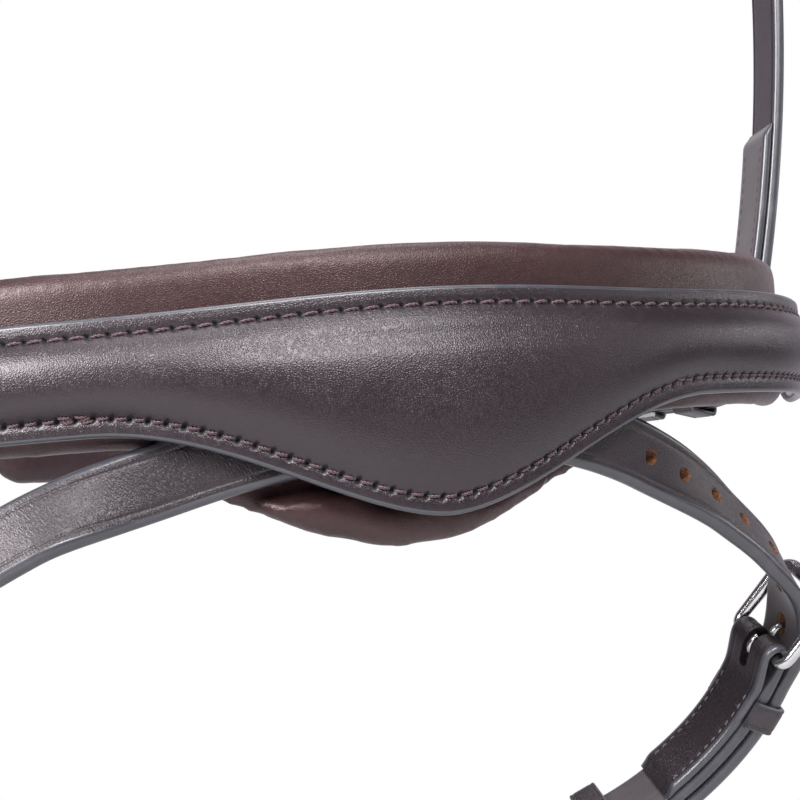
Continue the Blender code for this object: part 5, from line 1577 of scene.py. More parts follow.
@dataclass
class NoseLining(Padding):
    """Padded lining of the nose, which rolls out above and below the front."""

    half_length: float = 0.141
    thickness: float = 0.0104
    top_show: float = 0.0123
    low_show: float = 0.0030
    drop_extra: tuple[tuple[float, float], ...] = ((-0.066, 0.0), (-0.048, 0.0076), (-0.032, 0.0078),
                                                   (-0.018, 0.0058), (0.0, 0.0026), (0.024, 0.0018),
                                                   (0.042, 0.0030), (0.066, 0.0))
    back_crown: float = 0.0010
    shrink: float = 0.0005
    channel_top: float = 0.0015
    channel_ease: float = 0.0040
    channel_half_length: float = 0.064
    channel_runout: float = 0.018
    lip_clearance: float = 0.0026
    lip_ease: float = 0.0026
    pad_step: float = 0.0006
    loop_width: float = 0.0220
    loop_foot: float = 0.0030
    loop_clearance: float = 0.0008
    flash_width: float = 0.0160

    def lip_level(self, s: float) -> float:
        """Height below which the pad comes forward again, under the flash strap and its loop."""
        beside_loop = smooth(abs(s), self.loop_width / 2.0, self.loop_width)
        feet = (self.loop_foot + self.layers.loop) * (1.0 - beside_loop)
        return self.lines.flash_level(s) - self.flash_width / 2.0 - self.lip_clearance - feet

    def channel(self, s: float, v: float) -> float:
        """How far the pad steps back to let the flash strap and its loop pass.

        Args:
            s: Distance along the front.
            v: Height.

        Returns:
            The depth.
        """
        deepest = self.layers.flash + self.layers.loop + 2.0 * self.loop_clearance + self.layers.gap
        along = 1.0 - smooth(abs(s), self.channel_half_length, self.channel_half_length + self.channel_runout)
        below = 1.0 - smooth(v, self.channel_top - self.channel_ease, self.channel_top)
        above = smooth(v, self.lip_level(s) - self.lip_ease, self.lip_level(s))
        beside_loop = smooth(abs(s), self.loop_width / 2.0 + self.lip_clearance, self.loop_width)
        return (deepest - (self.layers.loop + self.loop_clearance) * beside_loop) * along * below * above

    def section(self, s: float) -> list[tuple[float, float]]:
        """Heights and offsets round the lining's section."""
        end_round = self.thickness / 2.0
        past = min(max((abs(s) - self.half_length + end_round) / end_round, 0.0), 0.97)
        radius = end_round * math.sqrt(1.0 - past * past) - self.shrink
        middle_o = self.layers.pad_o - end_round
        high = self.pattern.top_seam(s) + self.pattern.margin + self.top_show - end_round
        extra = eased(max(s, self.drop_extra[0][0]), self.drop_extra)
        edge = self.pattern.low_seam(s) - self.pattern.margin - self.low_show - extra
        recess = self.channel(s, edge + end_round / 2.0)
        low = edge + end_round - recess / 2.0
        low_radius, low_o = radius - recess / 2.0, middle_o - recess / 2.0
        wall_low = self.channel_top - self.channel_ease
        points = []
        rows = 30
        for index in range(rows + 1):
            v = low + (high - low) * index / rows
            depth = max(self.channel(s, v), recess if v <= wall_low else 0.0)
            points.append((v, middle_o + radius - depth))
        arcs = 10
        for index in range(1, arcs):
            angle = math.radians(90.0 - 180.0 * index / arcs)
            points.append((high + radius * math.cos(angle), middle_o + radius * math.sin(angle)))
        back = 16
        for index in range(back + 1):
            share = index / back
            bulge = self.back_crown * 4.0 * share * (1.0 - share)
            points.append((high + (low - high) * share, middle_o - radius - bulge))
        for index in range(1, arcs):
            angle = math.radians(-90.0 - 180.0 * index / arcs)
            points.append((low + low_radius * math.cos(angle), low_o + low_radius * math.sin(angle)))
        return points

    def make(self) -> None:
        """Build the lining in place of its plain cover and foam."""
        end_round = self.thickness / 2.0
        inner = self.half_length - end_round
        columns = 130
        stations = [inner * (2.0 * index / columns - 1.0) for index in range(columns + 1)]
        ends = [inner + end_round * share for share in (0.30, 0.58, 0.80, 0.93, 1.0)]
        stations = [-s for s in reversed(ends)] + stations + ends
        rings = []
        for s in stations:
            base, across, outward = self.lines.ring.read(s)
            rings.append([base + across * v + outward * o for v, o in self.section(s)])
        mesh = Bench.loft(rings, "nose_lining")
        obj = bpy.data.objects.new("nose_lining_work", mesh)
        bpy.context.scene.collection.objects.link(obj)

        table = [(s, *self.lines.ring.read(s)) for s in (index * 0.001 for index in range(-145, 146))]
        xs = [row[1].x for row in table]

        def flat(point: Vector) -> tuple[float, float, float]:
            index = min(max(bisect_right(xs, point.x) - 1, 0), len(table) - 1)
            s, base, across, outward = table[index]
            away = point - base
            return s, away.dot(across), away.dot(outward)

        front_o = self.layers.pad_o - self.shrink

        def pinned(point: Vector) -> float:
            s, v, o = flat(point)
            at_front = smooth(o, front_o - 0.0035, front_o - 0.0015)
            high = self.pattern.top_seam(s) + self.pattern.margin
            low = self.pattern.low_seam(s) - self.pattern.margin
            hidden = smooth(v, low - 0.0005, low + 0.0015) * (1.0 - smooth(v, high - 0.0015, high + 0.0005))
            channel = smooth(self.channel(s, v), 0.0, 0.0012) * smooth(o, -0.0150, -0.0120)
            return max(at_front * hidden, channel)

        self.fill(obj, pinned)
        self.crease(obj.data, lambda point: 1.0 - pinned(point))
        lining = obj.data
        bpy.data.objects.remove(obj)
        piece = self.bench.piece("nose_lining", lining, [self.finishes.lining], "straps", Slot.LINING,
                                 ["nose_pad_cover", "nose_pad_foam"])


@dataclass
class ChinPad(Padding):
    """Padded cushion where the chin strap lies on the jaw."""

    pad_length: float = 0.160
    pad_width: float = 0.0320
    thickness: float = 0.0090
    end_round: float = 0.0100
    back_crown: float = 0.0010
    shrink: float = 0.0004
    end_thickness: float = 0.40
    end_width: float = 0.45

    def section(self, distance: float) -> list[tuple[float, float]]:
        """Heights and offsets round the pad's section at a distance from its middle."""
        past = min(max((abs(distance) - self.pad_length / 2.0 + self.end_round) / self.end_round, 0.0), 0.97)
        fullness = math.sqrt(1.0 - past * past)
        half_thick = self.thickness / 2.0
        radius = half_thick * (self.end_thickness + (1.0 - self.end_thickness) * fullness) - self.shrink
        middle_o = self.layers.nose_strap_o - self.layers.strap / 2.0 - self.layers.gap - half_thick
        half = self.pad_width / 2.0 * (self.end_width + (1.0 - self.end_width) * fullness) - half_thick
        points = []
        for step in range(15):
            angle = math.radians(90.0 - 180.0 * step / 14.0)
            points.append((half + radius * math.cos(angle), middle_o + radius * math.sin(angle)))
        for step in range(1, 12):
            share = step / 12.0
            bulge = self.back_crown * 4.0 * share * (1.0 - share)
            points.append((half - 2.0 * half * share, middle_o - radius - bulge))
        for step in range(15):
            angle = math.radians(-90.0 - 180.0 * step / 14.0)
            points.append((-half + radius * math.cos(angle), middle_o + radius * math.sin(angle)))
        for step in range(1, 12):
            points.append((-half + 2.0 * half * step / 12.0, middle_o + radius))
        return points

    def make(self) -> None:
        """Build the chin pad in place of its plain cover and foam."""
        half = self.pad_length / 2.0
        columns = 90
        rings = []
        middle = self.lines.ring.length / 2.0
        for column in range(columns + 1):
            distance = half * math.sin(math.pi / 2.0 * (2.0 * column / columns - 1.0))
            base, across, outward = self.lines.ring.read(middle + distance)
            rings.append([base + across * v + outward * o for v, o in self.section(distance)])
        mesh = Bench.loft(rings, "chin_padding")
        obj = bpy.data.objects.new("chin_padding_work", mesh)
        bpy.context.scene.collection.objects.link(obj)
        front_o = self.layers.nose_strap_o - self.layers.strap / 2.0 - self.layers.gap

        def pinned(point: Vector) -> float:
            nearest = min(range(0, len(self.lines.ring.points), 12),
                          key=lambda index: (self.lines.ring.points[index].xy - point.xy).length_squared)
            away = point - self.lines.ring.points[nearest]
            return smooth(away.dot(self.lines.ring.outwards[nearest]), front_o - 0.0030, front_o - 0.0012)

        self.fill(obj, pinned)
        self.crease(obj.data, lambda point: 1.0 - pinned(point))
        cushion = obj.data
        bpy.data.objects.remove(obj)
        # The chin pad wears the darker lining copy, which is painted shade
        piece = self.bench.piece("chin_padding", cushion, [self.finishes.shaded_chin_lining], "straps", Slot.LINING,
                                 ["chin_pad_cover", "chin_pad_foam"])


@dataclass(frozen=True)
class StrapCut:
    """Section of a strap: a grain face with a creased line near each edge, round painted edges and a flesh face."""

    width: float
    thickness: float = 0.0030
    edge_round: float = 0.0010
    crease_inset: float = 0.0019
    crease_depth: float = 0.00016
    crease_reach: float = 0.00032
    face_rows: int = 14
    edge_rows: int = 8
    flesh_rows: int = 8

    def outline(self) -> list[tuple[float, float, Face]]:
        """Points round the section: distance across, share of the thickness and face of the strip after it."""
        half = self.width / 2.0 - self.edge_round
        crease_at = self.width / 2.0 - self.crease_inset
        spots = [half - 2.0 * half * index / self.face_rows for index in range(self.face_rows + 1)]
        for side in (-1.0, 1.0):
            spots += [side * crease_at + self.crease_reach * step for step in (-1.4, -0.7, 0.0, 0.7, 1.4)]
        spots = sorted({round(spot, 6) for spot in spots if abs(spot) <= half}, reverse=True)
        points = []
        for v in spots:
            groove = math.exp(-((abs(v) - crease_at) / self.crease_reach) ** 2) * self.crease_depth
            points.append((v, 0.5 - groove / self.thickness, Face.GRAIN))
        points[-1] = (*points[-1][:2], Face.EDGE)
        for step in range(1, self.edge_rows):
            angle = math.radians(90.0 - 180.0 * step / self.edge_rows)
            points.append((-half - self.edge_round * math.cos(angle), 0.5 * math.sin(angle), Face.EDGE))
        for index in range(self.flesh_rows + 1):
            face = Face.FLESH if index < self.flesh_rows else Face.EDGE
            points.append((-half + 2.0 * half * index / self.flesh_rows, -0.5, face))
        for step in range(1, self.edge_rows):
            angle = math.radians(-90.0 + 180.0 * step / self.edge_rows)
            points.append((half + self.edge_round * math.cos(angle), 0.5 * math.sin(angle), Face.EDGE))
        return points


@dataclass
class Strap:
    """A strap cut flat, punched, folded round a buckle's bar if it has one, and bent onto its line."""

    bench: Bench
    layers: Layers
    cut: StrapCut
    step: float = 0.0010
    bar_radius: float = 0.0015
    bar_clearance: float = 0.0003
    wrap_runout: float = 0.0060
    skive: float = 0.0040
    slot_width: float = 0.0032
    slot_reach: float = 0.0060
    hole_diameter: float = 0.0037
    used_hole_length: float = 0.0056
    tongue_crank: float = 0.0049
    overrun: float = 0.004
    end_rounding: float = 0.0010

    @property
    def wrap_radius(self) -> float:
        """Outer radius of the fold."""
        return self.bar_radius + self.bar_clearance + self.layers.wrap

    def straight(self, start: float, end: float, o: float, thickness: float) -> list[tuple[float, float, float]]:
        """Stations from start to end.

        Args:
            start: First distance.
            end: Last distance.
            o: Offset of the strap's middle.
            thickness: Its thickness.

        Returns:
            Distance, offset and thickness of each station.
        """
        count = max(round(abs(end - start) / self.step), 1)
        return [(start + (end - start) * index / count, o, thickness) for index in range(count + 1)]

    def fold(self, turnback_length: float) -> list[tuple[float, float, float]]:
        """Stations from the turned back end, round the bar at 0, to where the strap is whole again."""
        thick, back = self.cut.thickness, self.layers.turnback
        bar_o = -thick / 2.0
        reach = self.wrap_radius + self.wrap_runout
        stations = []
        for x, _, _ in self.straight(turnback_length, reach, 0.0, back):
            left = smooth(turnback_length - x, 0.0, self.skive)
            layer = self.layers.turnback_end + (back - self.layers.turnback_end) * left
            stations.append((x, bar_o - 0.0001 - layer / 2.0, layer - 0.0001))
        radius = self.bar_radius + self.bar_clearance + self.layers.wrap / 2.0
        runs = 7
        for index in range(1, runs):
            share = smooth(index / runs, 0.0, 1.0)
            x = reach * (1.0 - index / runs)
            o = (bar_o - back / 2.0) * (1.0 - share) + (bar_o - radius) * share
            stations.append((x, o, back + (self.layers.wrap - back) * share))
        turns = 16
        for index in range(turns + 1):
            angle = math.radians(-90.0 - 180.0 * index / turns)
            stations.append((radius * math.cos(angle), bar_o + radius * math.sin(angle), self.layers.wrap))
        for index in range(1, runs + 1):
            share = smooth(index / runs, 0.0, 1.0)
            o = (bar_o + radius) * (1.0 - share)
            stations.append((reach * index / runs, o, self.layers.wrap + (thick - self.layers.wrap) * share))
        return stations

    def sweep(self, stations: Sequence[tuple[float, float, float]], name: str) -> bpy.types.Mesh:
        """Flat strap through stations, with both ends rounded off.

        Args:
            stations: Distance, offset and thickness of each one.
            name: The mesh's name.

        Returns:
            The mesh.
        """
        outline = self.cut.outline()
        places = [Vector((s, o)) for s, o, _ in stations]
        lengths = Line.running([Vector((p.x, p.y, 0.0)) for p in places])
        rings = []
        last = len(stations) - 1
        for index, (s, o, thickness) in enumerate(stations):
            ahead = places[min(index + 1, last)] - places[max(index - 1, 0)]
            ahead.normalize()
            normal = Vector((-ahead.y, ahead.x))
            to_end = min(lengths[index], lengths[-1] - lengths[index]) / self.end_rounding
            full = math.sqrt(max(1.0 - (1.0 - min(to_end, 1.0)) ** 2, 0.06))
            rings.append([Vector((s + normal.x * n * thickness * full, v * (0.96 + 0.04 * full),
                                  o + normal.y * n * thickness * full)) for v, n, _ in outline])
        return Bench.loft(rings, name, faces=lambda index: outline[index][2])

    def punch(self, bar_s: float, direction: int, pitch: float, ahead: int, behind: int) -> list[bpy.types.Mesh]:
        """Cutters for a row of holes, of which the tongue's is drawn oval.

        Args:
            bar_s: Distance of the buckle's bar.
            direction: 1 where the strap's end lies at larger distances.
            pitch: Distance between holes.
            ahead: Holes between the buckle and the strap's body.
            behind: Holes between the buckle and the point.

        Returns:
            The cutters.
        """
        cutters = []
        for index in range(-behind, ahead + 1):
            s = bar_s - direction * (self.tongue_crank + index * pitch)
            length = self.used_hole_length if index == 0 else self.hole_diameter
            depth = self.cut.thickness + self.overrun
            cutters.append(Bench.stadium(length, self.hole_diameter, depth, Vector((s, 0.0, 0.0))))
        return cutters

    def tongue_slot(self, bar_s: float, direction: int) -> bpy.types.Mesh:
        """Cutter for the slot in the fold in which the tongue works."""
        start, end = -self.wrap_radius - self.overrun, self.slot_reach
        depth = 4.0 * self.wrap_radius
        centre = Vector((bar_s + direction * (start + end) / 2.0, 0.0, -self.cut.thickness / 2.0))
        return Bench.stadium(end - start, self.slot_width, depth, centre, Face.GRAIN)

    @staticmethod
    def pointed(tip: float, direction: int, point_length: float = 0.0150, point_share: float = 0.42) -> Height:
        """Width of a strap that narrows to a point.

        Args:
            tip: Distance of the point.
            direction: 1 where the point lies at larger distances.
            point_length: Length over which the strap narrows.
            point_share: Share of the width that is left at the end.

        Returns:
            The width's share by distance.
        """
        def width_at(s: float) -> float:
            left = (tip - s) * direction / point_length
            if left >= 1.0:
                return 1.0
            return point_share + (1.0 - point_share) * math.sqrt(max(1.0 - (1.0 - max(left, 0.0)) ** 2, 0.0))
        return width_at

    @staticmethod
    def full(_s: float) -> float:
        """Width of a strap with straight sides."""
        return 1.0


@dataclass(frozen=True)
class BuckleCut:
    """Sizes that all the buckles share."""

    bar_radius: float = 0.0015
    front_swell: float = 1.25
    side_clearance: float = 0.0010
    corner_radius: float = 0.0045
    heel_radius: float = 0.0022
    lift_clearance: float = 0.0006
    tongue_radius: float = 0.0009
    tongue_clearance: float = 0.00025
    tongue_overhang: float = 0.0016
    tongue_crank: float = 0.0049
    tongue_rise: tuple[tuple[float, float], ...] = ((0.55, 1.08), (0.92, 1.50), (1.10, 2.25))
    tongue_crest: tuple[tuple[float, float], ...] = ((1.35, 0.93), (1.75, 1.00))
    billet_rise: float = 0.0013
    billet_settle: float = 0.0080
    keeper_thickness: float = 0.0013
    keeper_clearance: float = 0.0006
    fixed_keeper_clearance: float = 0.0002
    keeper_corner: float = 0.0026
    keeper_length: float = 0.0074


@dataclass
class Buckle:
    """A buckle with its tongue and its two keepers, each on the body that carries it."""

    name: str
    bench: Bench
    finishes: Finishes
    layers: Layers
    line: Line
    bar_s: float
    direction: int
    bar_o: float
    billet_o: Height
    strap_width: float
    thickness: float
    frame_length: float
    keeper_places: tuple[float, float]
    sizes: BuckleCut = BuckleCut()

    def front_height(self) -> float:
        """How far the frame's front lies over the bar's level, to clear the billet below it."""
        axes = self.line.axes(self.bar_s, self.bar_o, self.direction)
        front_radius = self.sizes.bar_radius * self.sizes.front_swell
        slope = 0.0
        for step in range(5):
            s = self.bar_s - self.direction * (self.frame_length - self.sizes.corner_radius * step / 4.0)
            for v in (-self.strap_width / 2.0, 0.0, self.strap_width / 2.0):
                billet = axes.inverted() @ self.line.place(s, v, self.billet_o(s))
                need = billet.z + self.thickness / 2.0 + self.sizes.lift_clearance + front_radius
                slope = max(slope, need / -billet.x)
        return slope * self.frame_length

    @staticmethod
    def tube(points: Sequence[Vector], radii: Sequence[float], closed: bool, name: str, sides: int = 18,
             flat: float = 1.0) -> bpy.types.Mesh:
        """Round bar along points.

        Args:
            points: The bar's middle line.
            radii: Its radius at each point.
            closed: Whether it closes on itself.
            name: The mesh's name.
            sides: Sides of the bar.
            flat: Its height against its width.

        Returns:
            The mesh.
        """
        last = len(points) - 1
        rings = []
        up = Vector((0.0, 0.0, 1.0)) if closed else Vector((0.0, 1.0, 0.0))
        for index, (point, radius) in enumerate(zip(points, radii)):
            before = points[index - 1] if closed or index > 0 else points[0]
            after = points[(index + 1) % len(points)] if closed or index < last else points[last]
            along = (after - before).normalized()
            side = along.cross(up).normalized()
            over = side.cross(along).normalized()
            ring = []
            for step in range(sides):
                angle = 2.0 * math.pi * step / sides
                ring.append(point + side * radius * math.cos(angle) + over * radius * flat * math.sin(angle))
            rings.append(ring)
        return Bench.loft(rings, name, closed=closed)

    def frame_mesh(self) -> bpy.types.Mesh:
        """D-shaped frame about its heel bar."""
        sizes = self.sizes
        half = self.strap_width / 2.0 + sizes.side_clearance + sizes.bar_radius
        length = self.frame_length
        slope = self.front_height() / length
        corners = ((0.0, -half, sizes.heel_radius), (-length, -half, sizes.corner_radius),
                   (-length, half, sizes.corner_radius), (0.0, half, sizes.heel_radius))
        arc_steps, run_steps = 9, 10
        path: list[Vector] = []
        for (x, y, radius), start in zip(corners, (0.0, -90.0, -180.0, -270.0)):
            centre = Vector((x - radius if x == 0.0 else x + radius, y + radius if y < 0.0 else y - radius, 0.0))
            arc = [centre + Vector((math.cos(math.radians(start - 90.0 * step / arc_steps)),
                                    math.sin(math.radians(start - 90.0 * step / arc_steps)), 0.0)) * radius
                   for step in range(arc_steps + 1)]
            if path:
                path += [path[-1].lerp(arc[0], step / run_steps) for step in range(1, run_steps)]
            path += arc
        path += [path[-1].lerp(path[0], step / run_steps) for step in range(1, run_steps)]
        points = [Vector((p.x, p.y, -p.x * slope)) for p in path]
        radii = [sizes.bar_radius * (1.0 + (sizes.front_swell - 1.0) * smooth(-p.x, 0.0, length)) for p in path]
        return self.tube(points, radii, True, self.name)

    def tongue_mesh(self) -> bpy.types.Mesh:
        """Tongue: coiled round the bar, cranked up through the strap and laid on the frame's front."""
        sizes = self.sizes
        coil = sizes.bar_radius + sizes.tongue_clearance + sizes.tongue_radius
        height = self.front_height()
        rest = height + sizes.bar_radius * sizes.front_swell + sizes.tongue_clearance + sizes.tongue_radius
        crest = max(rest, self.thickness * 2.0 + sizes.billet_rise + sizes.tongue_radius
                    + 3.0 * self.layers.gap + sizes.bar_radius)
        path = [Vector((coil * math.cos(math.radians(a)), 0.0, coil * math.sin(math.radians(a))))
                for a in range(-150, 91, 12)]
        path += [Vector((-x * sizes.tongue_crank, 0.0, z * coil)) for x, z in sizes.tongue_rise]
        path += [Vector((-x * sizes.tongue_crank, 0.0, z * crest)) for x, z in sizes.tongue_crest]
        path += [Vector((-self.frame_length, 0.0, rest)),
                 Vector((-self.frame_length - sizes.tongue_overhang, 0.0, rest - sizes.tongue_radius / 3.0))]
        points = rounded_path(path, 5)
        radii = [sizes.tongue_radius] * len(points)
        tail = 6
        for index in range(tail):
            share = math.sqrt(1.0 - ((index + 1) / (tail + 0.6)) ** 2)
            radii[len(points) - tail + index] *= 0.55 + 0.45 * share
        return self.tube(points, radii, False, self.name)

    def keeper_path(self, low: float, high: float, fixed: bool) -> list[tuple[Vector, Vector]]:
        """Middle line of a keeper and its outward directions.

        Args:
            low: Lowest offset that it holds.
            high: Highest offset that it holds.
            fixed: Whether it is an arch, whose feet are sewn between the fold's layers, and not a whole loop.

        Returns:
            Points and directions, in order round the straps.
        """
        sizes = self.sizes
        middle = sizes.keeper_thickness / 2.0
        clearance = sizes.fixed_keeper_clearance if fixed else sizes.keeper_clearance
        half_o = (high - low) / 2.0 + clearance
        half_v = self.strap_width / 2.0 + clearance
        corner = sizes.keeper_corner if fixed else sizes.keeper_clearance + middle
        corners = ((1, 1, 0.0), (-1, 1, 90.0), (-1, -1, 180.0), (1, -1, 270.0))
        path: list[tuple[Vector, Vector]] = []
        for side_v, side_o, start in corners[:2] if fixed else corners:
            centre = Vector((0.0, side_v * (half_v + middle - corner), side_o * (half_o + middle - corner)))
            for step in range(9):
                angle = math.radians(start + 90.0 * step / 8.0)
                out = Vector((0.0, math.cos(angle), math.sin(angle)))
                path.append((centre + out * corner, out))
        if fixed:
            foot_o = (low - high) / 2.0 - middle
            ends = [(Vector((0.0, side * (half_v + middle), foot_o)), Vector((0.0, side, 0.0))) for side in (1.0, -1.0)]
            path = [ends[0]] + path + [ends[1]]
        after = path[1:] + ([] if fixed else path[:1])
        full = []
        for (point, out), (point_after, out_after) in zip(path, after):
            steps = max(round((point_after - point).length / 0.0014), 1)
            full += [(point.lerp(point_after, step / steps), out.lerp(out_after, step / steps).normalized())
                     for step in range(steps)]
        return full + ([path[-1]] if fixed else [])

    def keeper(self, part: str, distance: float, body: str) -> None:
        """Build a keeper.

        Args:
            part: fixed or sliding.
            distance: Its distance from the bar.
            body: The body that it rides on.
        """
        sizes, half = self.sizes, self.thickness / 2.0
        fixed = part == "fixed"
        fold_o = self.bar_o + half
        low = fold_o - half - (0.0 if fixed else self.layers.turnback)
        high = fold_o + self.thickness + self.layers.gap + half
        cut = StrapCut(sizes.keeper_length, sizes.keeper_thickness, edge_round=0.0004, crease_inset=0.0011,
                       crease_depth=0.00010, face_rows=8, edge_rows=6, flesh_rows=4)
        outline = cut.outline()
        path = self.keeper_path(low, high, fixed)
        rings = [[point + Vector((v, 0.0, 0.0)) + out * n * sizes.keeper_thickness for v, n, _ in outline]
                 for point, out in path]
        node = f"{self.name}_{part}_keeper"
        mesh = Bench.loft(rings, node, closed=not fixed, faces=lambda index: outline[index][2])
        Bench.note_cut_place(mesh, [Vector((v, 0.0012 * index, n)) for index in range(len(path)) for v, n, _ in outline])
        axes = self.line.climbing_axes(self.bar_s + self.direction * distance, (low + high) / 2.0, sizes.keeper_length)
        self.bench.piece(f"{node}_leather", mesh, self.finishes.strap_faces, body, Slot.STRAP, [node], axes)

    def make(self) -> None:
        """Build the frame, the tongue and the keepers."""
        axes = self.line.axes(self.bar_s, self.bar_o, self.direction)
        for part, mesh in (("frame", self.frame_mesh()), ("tongue", self.tongue_mesh())):
            node = f"{self.name}_buckle_{part}"
            self.bench.piece(f"{node}_metal", mesh, [self.finishes.metal], node, Slot.METAL, [node], axes)
        self.keeper("fixed", self.keeper_places[0], "straps")
        self.keeper("sliding", self.keeper_places[1], f"{self.name}_sliding_keeper")


def rounded_path(points: Sequence[Vector], steps: int) -> list[Vector]:
    """Smooth curve through points.

    Args:
        points: What it passes through.
        steps: Steps between two of them.

    Returns:
        The curve's points.
    """
    path = []
    for index in range(len(points) - 1):
        a, b, c, d = (points[min(max(index + shift, 0), len(points) - 1)] for shift in (-1, 0, 1, 2))
        for step in range(steps):
            t = step / steps
            path.append((b * 2.0 + (c - a) * t + (a * 2.0 - b * 5.0 + c * 4.0 - d) * t * t
                         + (b * 3.0 - a - c * 3.0 + d) * t ** 3) / 2.0)
    return path + [points[-1]]


@dataclass
class ChinClosure:
    """Near chape, chin strap and the noseband's buckle."""

    bench: Bench
    finishes: Finishes
    lines: Lines
    layers: Layers
    sizes: BuckleCut = BuckleCut()
    width: float = 0.0200
    chape_start: float = 0.1503
    bar_at: float = 0.2390
    turnback: float = 0.0480
    tail: float = 0.0480
    runout: float = 0.0300
    frame_length: float = 0.0210
    keeper_places: tuple[float, float] = (0.0150, 0.0320)
    pitch: float = 0.0250
    holes: tuple[int, int] = (3, 1)
    stitch_pitch: float = 0.0030
    stitch_inset: float = 0.0030

    def billet_o(self, s: float) -> float:
        """Chin strap's offset: outside the chape up to the bar, then down to the chape's own level."""
        over = self.layers.nose_strap_o + self.layers.strap + self.layers.gap
        table = ((self.bar_at - self.sizes.billet_settle, over), (self.bar_at, over + self.sizes.billet_rise),
                 (self.bar_at + self.runout, self.layers.nose_strap_o))
        return eased(max(s, table[0][0]), table)

    def make(self) -> None:
        """Build both straps, their thread and the buckle."""
        ring, layers = self.lines.ring, self.layers
        strap = Strap(self.bench, layers, StrapCut(self.width))
        fold = strap.fold(self.turnback)
        body = strap.straight(fold[-1][0], self.bar_at - self.chape_start, 0.0, layers.strap)[1:]
        stations = [(self.bar_at - x, o, thick) for x, o, thick in fold + body]
        mesh = strap.sweep(stations, "near_chape")
        mesh = Bench.cut(mesh, [strap.tongue_slot(self.bar_at, -1)])
        mesh = self.bench.bend(mesh, ring, lambda s: layers.nose_strap_o, Strap.full)
        self.bench.piece("near_chape_leather", mesh, self.finishes.strap_faces, "straps", Slot.STRAP, ["near_chape"])
        tip = self.bar_at - self.tail
        stations = strap.straight(tip, ring.length - self.chape_start, 0.0, layers.strap)
        mesh = strap.sweep(stations, "chin_strap")
        mesh = Bench.cut(mesh, strap.punch(self.bar_at, -1, self.pitch, *self.holes))
        mesh = self.bench.bend(mesh, ring, self.billet_o, Strap.pointed(tip, -1))
        self.bench.piece("chin_strap_leather", mesh, self.finishes.strap_faces, "straps", Slot.STRAP, ["chin_strap"])
        self.threads()
        Buckle("noseband", self.bench, self.finishes, layers, ring, self.bar_at, -1,
               layers.nose_strap_o - layers.strap / 2.0, self.billet_o, self.width, layers.strap,
               self.frame_length, self.keeper_places).make()

    def threads(self) -> None:
        """Stitches of the fold, on its outer and inner faces."""
        layers = self.layers
        needle = Needle(radius=0.00030, rise=-0.00010, slant=0.00008, trim=0.00040, sink=0.0003)
        seams = []
        for side in (-1.0, 1.0):
            v = side * (self.width / 2.0 - self.stitch_inset)
            for o, flip in ((layers.nose_strap_o + layers.strap / 2.0, 1.0),
                            (layers.nose_strap_o - layers.strap / 2.0 - layers.turnback, -1.0)):
                seams.append(Seam(lambda s, w, o=o, flip=flip: self.lines.ring.place(s, w * flip, o),
                                  lambda s, v=v, flip=flip: (s, v * flip),
                                  self.bar_at - self.turnback + 0.006, self.bar_at - 0.0105, self.stitch_pitch))
        mesh = needle.sew(seams, "near_chape_thread", seed=21)
        self.bench.piece("near_chape_thread", mesh, [self.finishes.strap_thread], "straps")


